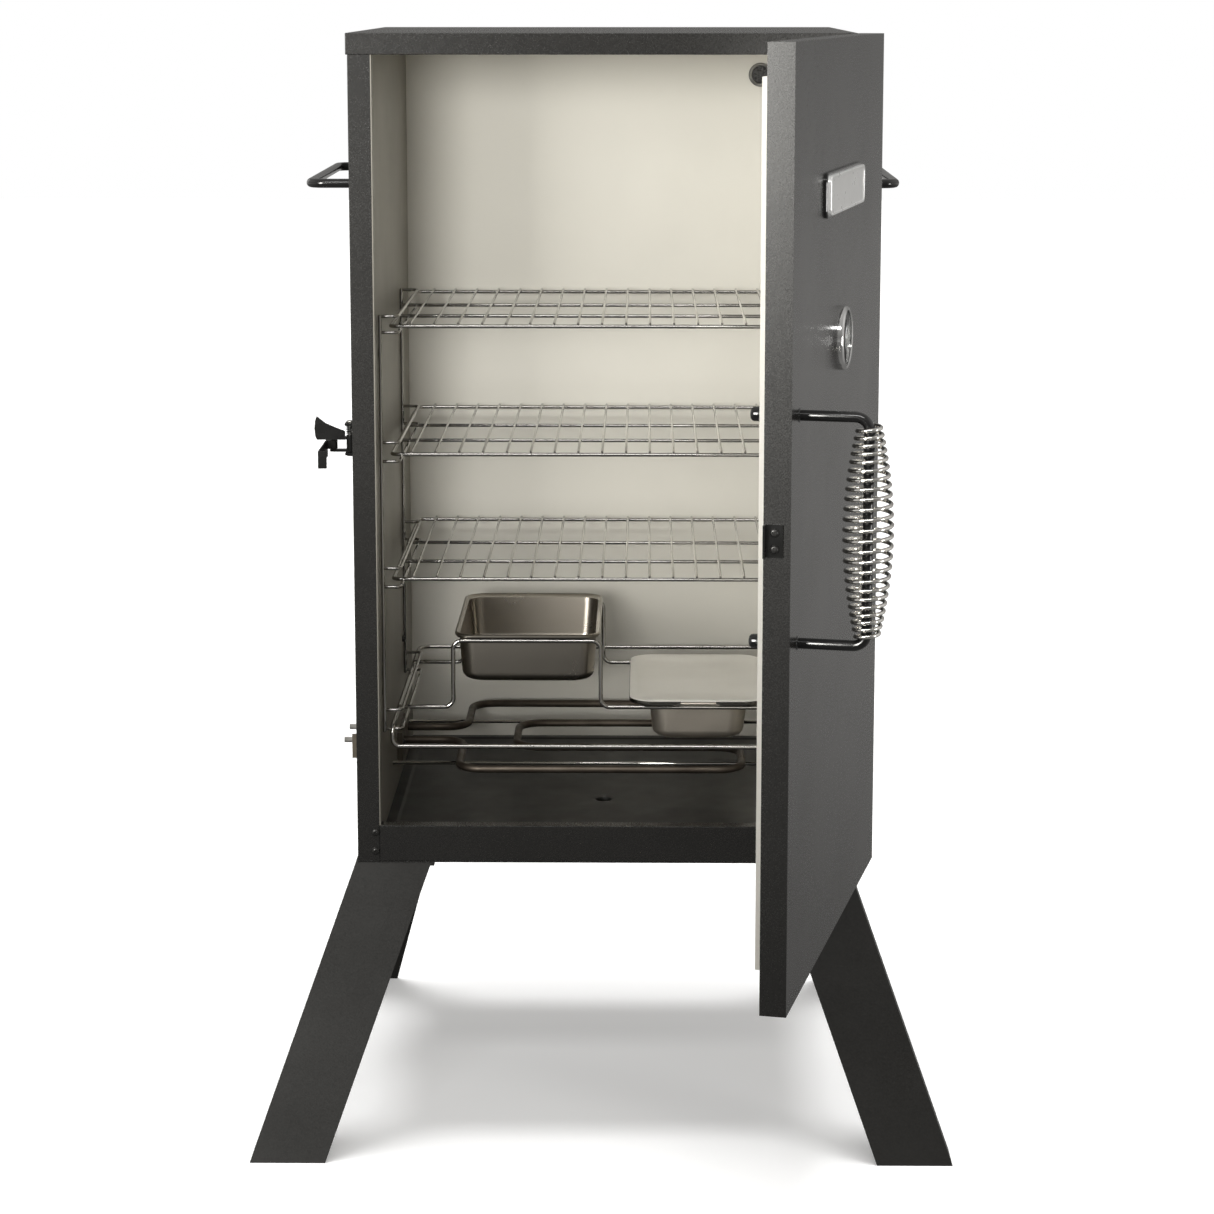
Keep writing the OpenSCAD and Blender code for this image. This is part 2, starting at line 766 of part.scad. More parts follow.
module badge_backing() {
  color("#151514") at_door() badge_outline(170, 34, door_out - 2.5, door_out);
}

module badge_plate() {
  color("#d8d8d6") at_door() badge_outline(166, 30, door_out - 5.5, door_out - 2.5);
}

module thermometer_bezel() {
  color("#d9d9d7") at_door() difference() {
    rod([0, door_out - 6.5, gauge_z], [0, door_out, gauge_z], 25);
    rod([0, door_out - 5.6, gauge_z], [0, door_out - 1.2, gauge_z], 23);
    rod([0, door_out - 7, gauge_z], [0, door_out - 5, gauge_z], 21.5);
    rod([0, door_out - 2, gauge_z], [0, door_out + 1, gauge_z], 1.2);
  }
}

module thermometer_dial() {
  color("#e9e7e0") at_door() difference() {
    rod([0, door_out - 2.1, gauge_z], [0, door_out - 1.3, gauge_z], 22.8);
    rod([0, door_out - 3, gauge_z], [0, door_out, gauge_z], 1.2);
  }
}

module thermometer_lens() {
  color("#cfd8da", 0.4) at_door()
    rod([0, door_out - 5.5, gauge_z], [0, door_out - 4.6, gauge_z], 22.8);
}

module thermometer_stem() {
  // probe with its spindle, and the nut that clamps it, as separate solids
  y1 = door_in + pan_depth;
  color("#b9b8b3") at_door() {
    rod([0, door_out, gauge_z], [0, door_in + 42, gauge_z], 3);
    rod([0, door_out - 3.9, gauge_z], [0, door_out + 1, gauge_z], 0.8);
    hex_nut([0, y1, gauge_z], [0, 1, 0], 6.5, 4, 3);
  }
}

module thermometer_needle() {
  y0 = door_out - 3.6;
  y1 = door_out - 2.8;
  color("#b3261e") at_door() difference() {
    union() {
      rod([0, y0, gauge_z], [0, y1, gauge_z], 2.4);
      translate([0, y1, gauge_z])
        rotate([90, 0, 0])
          linear_extrude(height = y1 - y0)
            polygon([[-1.2, -6], [1.2, -6], [0.9, 6], [0.25, 18], [-0.25, 18], [-0.9, 6]]);
    }
    rod([0, y0 - 1, gauge_z], [0, y1 + 1, gauge_z], 0.86);
  }
}

module door_handle_rod() {
  color("#1f1e1d") at_door()
    bent_wire([[grip_x, door_in + pan_depth + 4, grip_z[0]], [grip_x, grip_y, grip_z[0]],
      [grip_x, grip_y, grip_z[1]], [grip_x, door_in + pan_depth + 4, grip_z[1]]], 10, rod_r);
}

module door_handle_spring() {
  // sleeve of the coil's outer shape: narrow at the ends and full in the middle
  z0 = grip_z[0] + 11;
  z1 = grip_z[1] - 11;
  n = 12;
  outer = [for (i = [0:n]) [10 + 8.5 * sin(180 * i / n), z0 + (z1 - z0) * i / n]];
  inner = [for (i = [n:-1:0]) [outer[i][0] - 3, outer[i][1]]];
  color("#c8c4bb") at_door()
    translate([grip_x, grip_y, 0])
      rotate_extrude() polygon(concat(outer, inner));
}

module door_handle_nuts() {
  // closed cap nuts on the pan side
  y1 = door_in + pan_depth;
  color("#1c1b1a") at_door()
    for (z = grip_z)
      difference() {
        rod([grip_x, y1, z], [grip_x, y1 + 8, z], 6.4);
        rod([grip_x, y1 - 1, z], [grip_x, y1 + 4.3, z], rod_r + 0.05);
      }
}

module latch_keeper() {
  x = -door_x;
  color("#26251f") at_door() difference() {
    union() {
      block([x - 1.4, door_out + 5.5, keeper_z - 12], [x, door_in - 0.8, keeper_z + 12]);
      block([x - 7.5, door_in - 2.3, keeper_z - 12], [x, door_in - 0.8, keeper_z + 12]);
    }
    holes(keeper_screws);
  }
}

module door_screws() {
  color("#6f6c66") at_door()
    for (s = concat(hinge_door_screws, keeper_screws))
      screw(s[0], s[1]);
}

// ---------- racks, tray frame, pans ----------
// welded wire rack whose frame wire lies at height z
module rack(z) {
  y0 = yf + rack_front;
  y1 = yf + rack_back;
  top_z = z + rack_r + long_r - 0.3;
  count = 17;
  first = -wire_pitch * (count - 1) / 2;
  bent_wire([[-rack_half_w, y0, z], [rack_half_w, y0, z], [rack_half_w, y1, z], [-rack_half_w, y1, z]],
    6, rack_r, closed = true);
  for (y = rack_cross)
    rod([-rack_half_w, y, z], [rack_half_w, y, z], rack_r - 0.1);
  for (i = [0:count - 1])
    rod([first + i * wire_pitch, y0 - 1, top_z], [first + i * wire_pitch, y1 + 2, top_z], long_r);
}

function rack_z(level) = guide_z[level][0] + guide_r + rack_r + rack_lift;

module rack_top() {
  color("#d5d3cd") rack(rack_z(0));
}

module rack_middle() {
  color("#d5d3cd") rack(rack_z(1));
}

module rack_lower() {
  color("#d5d3cd") rack(rack_z(2));
}

module tray_support() {
  // side wires that dip at the front, and two cross wires with a raised cradle
  x = rack_half_w;
  y0 = yf + 25;
  y1 = yf + 353;
  z = tray_z;
  dip = z - 18;
  color("#d5d3cd") {
    bent_wire([[-x, y1 - 20, z], [-x, y0, z], [-x, y0, dip], [x, y0, dip],
      [x, y0, z], [x, y1 - 20, z]], 6.5, tray_r);
    bent_wire([[-x, y1 - 20, z], [-x, y1, z], [x, y1, z], [x, y1 - 20, z]], 12, tray_r);
    for (y = tray_y)
      bent_wire([[-x, y, cross_z], [cradle_x[0], y, cross_z], [cradle_x[0], y, cradle_z],
        [cradle_x[1], y, cradle_z], [cradle_x[1], y, cross_z], [x, y, cross_z]], 8, tray_r - 0.1);
  }
}

module water_pan() {
  z1 = cradle_z + tray_r + 4.2;
  color("#8d857a") difference() {
    union() {
      round_block(pan_c, 124, 174, 14, z1 - 46, z1);
      round_block(pan_c, 131, 192, 17, z1 - 3.9, z1);
    }
    round_block(pan_c, 122, 172, 13, z1 - 45, z1 + 1);
  }
}

module chip_tray() {
  z1 = cross_z + tray_r + 3.5;
  color("#8d857a") difference() {
    union() {
      round_block(chip_c, 88, 176, 16, z1 - 37, z1);
      round_block(chip_c, 119, 190, 20, z1 - 3.2, z1 - 2.2);
      round_block(chip_c, 119, 190, 20, z1 - 3.2, z1);
    }
    round_block(chip_c, 86, 174, 15, z1 - 36, z1 + 1);
    difference() {
      round_block(chip_c, 117, 188, 19, z1 - 2.2, z1 + 1);
      round_block(chip_c, 88, 176, 16, z1 - 3, z1 + 2);
    }
  }
}

module chip_tray_lid() {
  z0 = cross_z + tray_r + 3.8;
  notch = 15.5;
  color("#c8c6b9") difference() {
    round_block(chip_c, 124, 195, 22, z0 - 3.2, z0 + 1.2);
    round_block(chip_c, 121.6, 192.6, 21, z0 - 4, z0);
    block([chip_c[0] - notch, chip_c[1] - 100, z0 - 4], [chip_c[0] + notch, chip_c[1] - 90, z0]);
  }
}

side_panel_left();
side_panel_right();
back_panel();
bottom_panel();
front_sill();
top_lid();
liner_left();
liner_right();
liner_back();
liner_ceiling();
liner_floor();
wall_insulation();
cabinet_screws();
rack_support_left();
rack_support_right();
heating_element();
element_support_rods();
element_block();
terminal_insulators();
terminal_pins();
controller_bracket();
side_handle_left();
side_handle_right();
leg_front_left();
leg_front_right();
leg_back_left();
leg_back_right();
bolts_and_nuts();
latch_base();
pivot_pins();
hinge_leaves_cabinet();
drip_tray_rails();
vent_sleeve();
door_skin();
door_liner();
door_insulation();
badge_backing();
badge_plate();
thermometer_bezel();
thermometer_dial();
thermometer_lens();
thermometer_stem();
door_handle_rod();
door_handle_spring();
door_handle_nuts();
latch_keeper();
door_screws();
hinge_leaves_door();
thermometer_needle();
latch_lever();
latch_hook();
rack_top();
rack_middle();
rack_lower();
tray_support();
water_pan();
chip_tray();
chip_tray_lid();
drip_tray();
vent_damper();
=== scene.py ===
"""Looks of the cabinet smoker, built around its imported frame."""

import json
import math

import bmesh
import bpy
from mathutils import Matrix, Vector


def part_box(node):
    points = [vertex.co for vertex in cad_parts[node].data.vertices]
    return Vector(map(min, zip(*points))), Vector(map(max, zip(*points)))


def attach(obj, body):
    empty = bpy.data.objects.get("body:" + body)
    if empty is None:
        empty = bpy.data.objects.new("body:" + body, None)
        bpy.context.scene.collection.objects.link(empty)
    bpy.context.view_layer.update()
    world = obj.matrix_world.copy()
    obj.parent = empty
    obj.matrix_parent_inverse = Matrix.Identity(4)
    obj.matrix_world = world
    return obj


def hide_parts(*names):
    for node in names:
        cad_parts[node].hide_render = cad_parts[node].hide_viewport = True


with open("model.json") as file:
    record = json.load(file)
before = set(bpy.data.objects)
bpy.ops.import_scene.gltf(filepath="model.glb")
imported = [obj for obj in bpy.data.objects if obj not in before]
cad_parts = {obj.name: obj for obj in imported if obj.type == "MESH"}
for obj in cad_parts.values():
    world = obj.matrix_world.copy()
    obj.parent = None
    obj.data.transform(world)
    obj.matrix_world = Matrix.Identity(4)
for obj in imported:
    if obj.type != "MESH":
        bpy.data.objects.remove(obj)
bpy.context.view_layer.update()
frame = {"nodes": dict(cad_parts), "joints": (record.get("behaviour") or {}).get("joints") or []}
NODES = frame["nodes"]
JOINTS = {j["name"]: j for j in frame["joints"]}
MM = 0.001
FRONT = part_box("front_sill")[0].y

# the door is built shut and then turned to its rest pose
HINGE = Vector(JOINTS["door_hinge"]["pos_m"])
REST = math.radians(-JOINTS["door_hinge"]["range_deg"][0])
DOOR = Matrix.Translation(HINGE) @ Matrix.Rotation(REST, 4, "Z") @ Matrix.Translation(-HINGE)


def corners(pts):
    """Lowest and highest corner of the box round some points."""
    return (Vector(min(p[i] for p in pts) for i in range(3)),
            Vector(max(p[i] for p in pts) for i in range(3)))


def shut_box(node):
    """Box of a door node with the door shut."""
    back = DOOR.inverted()
    return corners([back @ v.co for v in NODES[node].data.vertices])


# ---------------------------------------------------------------- materials
# a noise mostly stays between these values
NOISE_LOW, NOISE_HIGH = 0.3, 0.7
SPECK_SCALE = 900.0


def nodes_of(name):
    """New material, its node tree and its shader."""
    mat = bpy.data.materials.new(name)
    mat.use_nodes = True
    tree = mat.node_tree
    return mat, tree, tree.nodes["Principled BSDF"]


def coords(tree, scale=(1, 1, 1)):
    """Object coordinates, scaled."""
    tc = tree.nodes.new("ShaderNodeTexCoord")
    mp = tree.nodes.new("ShaderNodeMapping")
    mp.inputs["Scale"].default_value = scale
    tree.links.new(tc.outputs["Object"], mp.inputs["Vector"])
    return mp.outputs["Vector"]


def noise(tree, vec, scale, detail=3.0, rough=0.55):
    n = tree.nodes.new("ShaderNodeTexNoise")
    n.inputs["Scale"].default_value = scale
    n.inputs["Detail"].default_value = detail
    n.inputs["Roughness"].default_value = rough
    tree.links.new(vec, n.inputs["Vector"])
    return n.outputs["Fac"]


def ramp(tree, fac, low, high):
    """Colour that follows a noise from low to high."""
    r = tree.nodes.new("ShaderNodeValToRGB")
    r.color_ramp.elements[0].position = NOISE_LOW
    r.color_ramp.elements[1].position = NOISE_HIGH
    r.color_ramp.elements[0].color = (*low, 1)
    r.color_ramp.elements[1].color = (*high, 1)
    tree.links.new(fac, r.inputs["Fac"])
    return r.outputs["Color"]


def stretch_range(tree, value, span, onto, smooth=False):
    """Value whose span is mapped onto another one."""
    m = tree.nodes.new("ShaderNodeMapRange")
    if smooth:
        m.interpolation_type = "SMOOTHSTEP"
    m.inputs["From Min"].default_value, m.inputs["From Max"].default_value = span
    m.inputs["To Min"].default_value, m.inputs["To Max"].default_value = onto
    tree.links.new(value, m.inputs["Value"])
    return m.outputs["Result"]


def remap(tree, fac, lo, hi):
    """Number that follows a noise from lo to hi."""
    return stretch_range(tree, fac, (NOISE_LOW, NOISE_HIGH), (lo, hi))


def maths(tree, operation, *values):
    """Result of a Math node over linked values."""
    m = tree.nodes.new("ShaderNodeMath")
    m.operation = operation
    for value, socket in zip(values, m.inputs):
        tree.links.new(value, socket)
    return m.outputs["Value"]


def bump(tree, shader, fac, strength, distance):
    """Fine relief from a noise."""
    b = tree.nodes.new("ShaderNodeBump")
    b.inputs["Strength"].default_value = strength
    b.inputs["Distance"].default_value = distance
    tree.links.new(fac, b.inputs["Height"])
    tree.links.new(b.outputs["Normal"], shader.inputs["Normal"])


def surface(name, low, high, rough, metallic=0.0, patch=18.0, grain=900.0, grain_depth=0.00008,
            grain_strength=0.35, stretch=(1, 1, 1), coat=0.0, specular=0.5, speck=0.0):
    """Principled surface: patchy colour, uneven gloss, a fine grain and, on powder coat, specks."""
    mat, tree, bsdf = nodes_of(name)
    vec = coords(tree)
    patchy = noise(tree, vec, patch, 5.0)
    colour = ramp(tree, patchy, low, high)
    gloss = remap(tree, noise(tree, vec, patch * 2.3, 4.0), rough[0], rough[1])
    if speck:
        dots = remap(tree, noise(tree, vec, SPECK_SCALE, 1.0, 0.5), 1 - speck, 1 + speck)
        mix = tree.nodes.new("ShaderNodeVectorMath")
        mix.operation = "SCALE"
        tree.links.new(colour, mix.inputs[0])
        tree.links.new(dots, mix.inputs["Scale"])
        colour = mix.outputs["Vector"]
        gloss = maths(tree, "MULTIPLY", gloss, dots)
    tree.links.new(colour, bsdf.inputs["Base Color"])
    tree.links.new(gloss, bsdf.inputs["Roughness"])
    bsdf.inputs["Metallic"].default_value = metallic
    bsdf.inputs["Specular IOR Level"].default_value = specular
    if coat:
        bsdf.inputs["Coat Weight"].default_value = coat
        bsdf.inputs["Coat Roughness"].default_value = 0.12
    fine = noise(tree, coords(tree, stretch), grain, 2.0, 0.6)
    bump(tree, bsdf, fine, grain_strength, grain_depth)
    return mat


MATS = {
    "powder": surface("powder_coat", (0.0122, 0.0115, 0.0103), (0.0136, 0.0129, 0.0116), (0.24, 0.27),
                      patch=5, grain=800, grain_depth=0.00006, grain_strength=0.22, speck=0.13),
    "leg": surface("leg_coat", (0.0100, 0.0092, 0.0078), (0.0118, 0.0109, 0.0094), (0.34, 0.40),
                   patch=6, grain=800, grain_depth=0.00006, grain_strength=0.22, specular=0.40, speck=0.13),
    "trim": surface("trim_black", (0.008, 0.008, 0.0078), (0.013, 0.0128, 0.012), (0.22, 0.32),
                    patch=30, grain=1500, grain_strength=0.2, specular=0.16),
    "gloss": surface("handle_black", (0.006, 0.006, 0.006), (0.010, 0.0098, 0.0095), (0.13, 0.20),
                     patch=40, grain=700, grain_strength=0.15, coat=0.3),
    "cream": surface("liner_cream", (0.66, 0.638, 0.572), (0.71, 0.688, 0.620), (0.36, 0.46), metallic=0.25,
                     patch=4, grain=160, grain_depth=0.00005, grain_strength=0.12, stretch=(1, 1, 0.08)),
    # painted shade: a darker copy of the liner cream, for the left liner wall, which stands in the cabinet's
    # shade
    "cream_painted_shade": surface("liner_cream_painted_shade", (0.205, 0.192, 0.163), (0.235, 0.222, 0.190), (0.36, 0.46),
                         metallic=0.25, patch=4, grain=160, grain_depth=0.00005, grain_strength=0.12,
                         stretch=(1, 1, 0.08)),
    "vent": surface("vent_sheet", (0.24, 0.235, 0.22), (0.29, 0.285, 0.265), (0.35, 0.45), metallic=0.6,
                    patch=40, grain=900, grain_strength=0.2),
    "screw": surface("screw_black", (0.020, 0.0195, 0.0185), (0.030, 0.029, 0.027), (0.24, 0.34),
                     metallic=0.4, patch=90, grain=900, grain_strength=0.15),
    "pan_cream": surface("door_pan_cream", (0.80, 0.765, 0.69), (0.84, 0.81, 0.74), (0.38, 0.48),
                         patch=5, grain=500, grain_strength=0.12),
    "floor": surface("floor_enamel", (0.0085, 0.0082, 0.0072), (0.0105, 0.010, 0.009), (0.34, 0.42),
                     patch=12, grain=600, grain_strength=0.15, specular=0.32),
    "chrome": surface("chrome_wire", (0.37, 0.362, 0.345), (0.43, 0.42, 0.40), (0.07, 0.13), metallic=1.0,
                      patch=45, grain=500, grain_strength=0.08),
    "nickel": surface("nickel_spring", (0.72, 0.70, 0.665), (0.80, 0.785, 0.75), (0.08, 0.16), metallic=1.0,
                      patch=60, grain=500, grain_strength=0.06),
    "zinc": surface("zinc_plate", (0.42, 0.41, 0.385), (0.58, 0.565, 0.53), (0.28, 0.42), metallic=1.0,
                    patch=160, grain=900, grain_strength=0.2),
    "steel": surface("pan_steel", (0.305, 0.280, 0.245), (0.325, 0.30, 0.262), (0.27, 0.29), metallic=1.0,
                     patch=9, grain=1400, grain_depth=0.00004, grain_strength=0.16, stretch=(0.02, 1, 1)),
    # painted light: a lighter copy of the pan steel for the chip tray, brightened to stand in for the light
    # the lid keeps off it
    "tray_steel_painted_light": surface("tray_steel_painted_light", (0.60, 0.545, 0.465), (0.68, 0.625, 0.54), (0.30, 0.38),
                          metallic=0.9, patch=16, grain=1400, grain_depth=0.00004, grain_strength=0.16,
                          stretch=(0.02, 1, 1)),
    "lid_steel": surface("lid_steel", (0.86, 0.84, 0.79), (0.92, 0.90, 0.85), (0.36, 0.46), metallic=0.25,
                         patch=16, grain=260, grain_depth=0.00005, grain_strength=0.22, stretch=(0.06, 1, 1)),
    "edge_steel": surface("edge_steel", (0.16, 0.152, 0.138), (0.22, 0.21, 0.192), (0.16, 0.24), metallic=1.0,
                          patch=60, grain=900, grain_strength=0.15),
    "element": surface("element_sheath", (0.055, 0.043, 0.033), (0.105, 0.088, 0.070), (0.36, 0.52),
                       metallic=0.75, patch=28, grain=800, grain_strength=0.25),
    "clamp": surface("clamp_steel", (0.10, 0.085, 0.065), (0.17, 0.15, 0.12), (0.35, 0.5), metallic=0.8,
                     patch=40, grain=900, grain_strength=0.25),
    "ceramic": surface("ceramic", (0.76, 0.73, 0.66), (0.82, 0.80, 0.74), (0.18, 0.28), patch=60,
                       grain=700, grain_strength=0.08, coat=0.4),
    "wool": surface("mineral_wool", (0.40, 0.36, 0.24), (0.62, 0.57, 0.42), (0.85, 0.98), patch=60,
                    grain=220, grain_depth=0.0015, grain_strength=0.9, stretch=(1, 1, 3)),
    "badge": surface("badge_silver", (0.74, 0.74, 0.73), (0.78, 0.78, 0.77), (0.26, 0.36), metallic=0.5,
                     patch=50, grain=420, grain_depth=0.00003, grain_strength=0.2, stretch=(0.05, 1, 1)),
    "bezel": surface("bezel_chrome", (0.72, 0.72, 0.715), (0.80, 0.80, 0.795), (0.05, 0.12), metallic=1.0,
                     patch=60, grain=600, grain_strength=0.05),
    "dial": surface("dial_white", (0.80, 0.79, 0.755), (0.84, 0.83, 0.80), (0.45, 0.55), patch=30,
                    grain=900, grain_strength=0.1),
    "ink": surface("dial_ink", (0.012, 0.012, 0.012), (0.02, 0.02, 0.02), (0.4, 0.5), patch=80,
                   grain=900, grain_strength=0.1),
    "red": surface("needle_red", (0.42, 0.02, 0.015), (0.50, 0.03, 0.02), (0.3, 0.4), patch=80,
                   grain=900, grain_strength=0.1),
}


def glass():
    """Clear glass with slightly uneven gloss."""
    mat, tree, bsdf = nodes_of("gauge_glass")
    bsdf.inputs["Base Color"].default_value = (0.96, 0.98, 0.98, 1)
    bsdf.inputs["Transmission Weight"].default_value = 1.0
    bsdf.inputs["IOR"].default_value = 1.46
    tree.links.new(remap(tree, noise(tree, coords(tree), 60, 3.0), 0.02, 0.05), bsdf.inputs["Roughness"])
    return mat


MATS["glass"] = glass()


# ---------------------------------------------------------------- mesh helpers
UPRIGHT = Matrix.Rotation(math.pi / 2, 4, "X")
DOME = 0.8


def unit(v):
    return v / v.length


def fillet(points, bend, closed=False, steps=6):
    """Points of a path whose corners are rounded to radius bend."""
    pts = [Vector(p) for p in points]
    out = []
    n = len(pts)
    for i, p in enumerate(pts):
        if not closed and i in (0, n - 1):
            out.append(p)
            continue
        d1 = unit(p - pts[i - 1])
        d2 = unit(pts[(i + 1) % n] - p)
        turn = d1.angle(d2)
        if turn < 1e-4:
            out.append(p)
            continue
        r = bend[i] if isinstance(bend, (list, tuple)) else bend
        cut = r * math.tan(turn / 2)
        centre = p + unit(d2 - d1) * (r / math.cos(turn / 2))
        start = p - d1 * cut - centre
        axis = d1.cross(d2).normalized()
        out += [centre + Matrix.Rotation(turn * k / steps, 3, axis) @ start for k in range(steps + 1)]
    return out


def sweep(bm, path, radius, segs=12, closed=False):
    """Round tube along a path, with domed ends that stay inside the path's length."""
    path = [Vector(p) for p in path]
    n = len(path)
    tangents = []
    for i in range(n):
        a = path[i - 1] if (closed or i) else path[0]
        b = path[(i + 1) % n] if (closed or i < n - 1) else path[-1]
        tangents.append(unit(b - a))
    side = tangents[0].orthogonal().normalized()
    rings = []

    def ring(centre, t, r):
        up = t.cross(side)
        return [bm.verts.new(centre + r * (math.cos(a) * side + math.sin(a) * up))
                for a in (2 * math.pi * k / segs for k in range(segs))]

    # angles up the quarter round of a domed end
    near, far = (math.radians(a) for a in (22.5, 67.5))

    def dome(tip, inward, t, angles):
        deep = inward * radius * DOME
        return [ring(tip + deep * (1 - math.cos(a)), t, radius * math.sin(a)) for a in angles]

    for i in range(n):
        side = unit(side - tangents[i] * side.dot(tangents[i]))
        t = tangents[i]
        if not closed and i == 0:
            rings += dome(path[0], t, t, (near, far))
            rings.append(ring(path[0] + t * radius * DOME, t, radius))
        elif not closed and i == n - 1:
            rings.append(ring(path[-1] - t * radius * DOME, t, radius))
            rings += dome(path[-1], -t, t, (far, near))
        else:
            rings.append(ring(path[i], t, radius))
    pairs = list(zip(rings, rings[1:]))
    if closed:
        # line the last ring up with the first
        first = rings[0]
        last = rings[-1]
        k0 = min(range(segs), key=lambda k: (last[k].co - path[-1] - (first[0].co - path[0])).length)
        pairs.append((last[k0:] + last[:k0], first))
    for a, b in pairs:
        for k in range(segs):
            bm.faces.new((a[k], a[(k + 1) % segs], b[(k + 1) % segs], b[k]))
    if not closed:
        bm.faces.new(list(reversed(rings[0])))
        bm.faces.new(rings[-1])


def loft(bm, loops, around=False):
    """Skin over loops of equal count, capped at both ends or joined from the last to the first."""
    rings = [[bm.verts.new(p) for p in loop] for loop in loops]
    n = len(rings[0])
    for a, b in zip(rings, rings[1:] + (rings[:1] if around else [])):
        for k in range(n):
            bm.faces.new((a[k], a[(k + 1) % n], b[(k + 1) % n], b[k]))
    if not around:
        bm.faces.new(list(reversed(rings[0])))
        bm.faces.new(rings[-1])


def round_rect(cx, cy, w, d, r, z, steps=8):
    """Loop of a rectangle with round corners, anticlockwise from above."""
    x, y = w / 2 - r, d / 2 - r
    pts = []
    for sx, sy, a0 in ((1, 1, 0), (-1, 1, 90), (-1, -1, 180), (1, -1, 270)):
        for k in range(steps + 1):
            a = math.radians(a0 + 90 * k / steps)
            pts.append(Vector((cx + sx * x + r * math.cos(a), cy + sy * y + r * math.sin(a), z)))
    return pts


def lathe(bm, profile, place=Matrix.Identity(4), segs=48):
    """Turned shape about Z from (radius, height) pairs; a zero radius closes it."""
    rings = []
    for r, z in profile:
        if r < 1e-7:
            rings.append([bm.verts.new(place @ Vector((0, 0, z)))])
        else:
            rings.append([bm.verts.new(place @ Vector((r * math.cos(a), r * math.sin(a), z)))
                          for a in (2 * math.pi * k / segs for k in range(segs))])
    for a, b in zip(rings, rings[1:]):
        for k in range(segs):
            k2 = (k + 1) % segs
            if len(a) == 1:
                bm.faces.new((a[0], b[k2], b[k]))
            elif len(b) == 1:
                bm.faces.new((a[k], a[k2], b[0]))
            else:
                bm.faces.new((a[k], a[k2], b[k2], b[k]))


def facing(point, direction):
    """Matrix whose +Z points along direction from point."""
    q = Vector(direction).to_track_quat("Z", "Y")
    return Matrix.Translation(Vector(point)) @ q.to_matrix().to_4x4()


def piece(name, bm, material, body, replaces=(), turn=None, smooth=35.0):
    """Object made from bm that rides on a body."""
    bmesh.ops.recalc_face_normals(bm, faces=bm.faces)
    mesh = bpy.data.meshes.new(name)
    bm.to_mesh(mesh)
    bm.free()
    if turn is not None:
        mesh.transform(turn)
    for p in mesh.polygons:
        p.use_smooth = True
    mesh.set_sharp_from_angle(angle=math.radians(smooth))
    obj = bpy.data.objects.new(name, mesh)
    bpy.context.scene.collection.objects.link(obj)
    mesh.materials.append(MATS[material])
    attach(obj, body)
    if replaces:
        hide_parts(*replaces)
    return obj


def dress(material, *names, bevel=0.0, segments=2):
    """Gives CAD nodes their material and softened edges."""
    for n in names:
        o = NODES[n]
        o.data.materials.clear()
        o.data.materials.append(MATS[material])
        extra = o.data.attributes.get("custom_normal")
        if extra:
            o.data.attributes.remove(extra)
        for p in o.data.polygons:
            p.use_smooth = True
        weld = o.modifiers.new("weld", "WELD")
        weld.merge_threshold = 1e-6
        flat = o.modifiers.new("flat", "DECIMATE")
        flat.decimate_type = "DISSOLVE"
        flat.angle_limit = math.radians(0.6)
        if bevel:
            b = o.modifiers.new("edges", "BEVEL")
            b.miter_outer = "MITER_ARC"
            b.width = bevel
            b.segments = segments
            b.limit_method = "ANGLE"
            b.angle_limit = math.radians(40)
            b.harden_normals = True
            b.use_clamp_overlap = True
        else:
            o.data.set_sharp_from_angle(angle=math.radians(35))


# ---------------------------------------------------------------- camera, floor, light
scene = bpy.context.scene
scene.view_settings.view_transform = "Standard"
scene.view_settings.look = "None"

cam_data = bpy.data.cameras.new("camera")
cam = bpy.data.objects.new("camera", cam_data)
scene.collection.objects.link(cam)
scene.camera = cam
cam.location = (0.036, -2.770, 1.0114)
cam.rotation_mode = "QUATERNION"
cam.rotation_quaternion = Vector((-0.01212, 1.0, -0.1667)).to_track_quat("-Z", "Y")
cam_data.sensor_width = 36
cam_data.lens = 90.1
cam_data.shift_y = -0.0920
cam_data.clip_start = 0.05
cam_data.clip_end = 100

bm = bmesh.new()
bmesh.ops.create_grid(bm, x_segments=1, y_segments=1, size=12)
floor_mesh = bpy.data.meshes.new("studio_floor")
bm.to_mesh(floor_mesh)
bm.free()
floor = bpy.data.objects.new("studio_floor", floor_mesh)
scene.collection.objects.link(floor)


def studio_white():
    """Pale paper of the studio floor, with a little light of its own to keep its shadow soft."""
    mat, tree, bsdf = nodes_of("studio_floor")
    patchy = noise(tree, coords(tree), 1.5, 2.0)
    tree.links.new(ramp(tree, patchy, (0.86, 0.86, 0.86), (0.88, 0.88, 0.88)), bsdf.inputs["Base Color"])
    bsdf.inputs["Roughness"].default_value = 0.9
    bsdf.inputs["Specular IOR Level"].default_value = 0.0
    bsdf.inputs["Emission Color"].default_value = (1.0, 0.995, 0.99, 1)
    bsdf.inputs["Emission Strength"].default_value = 0.23
    return mat


floor_mesh.materials.append(studio_white())
floor.visible_diffuse = False
floor.visible_glossy = False

world = bpy.data.worlds.new("studio")
scene.world = world
world.use_nodes = True


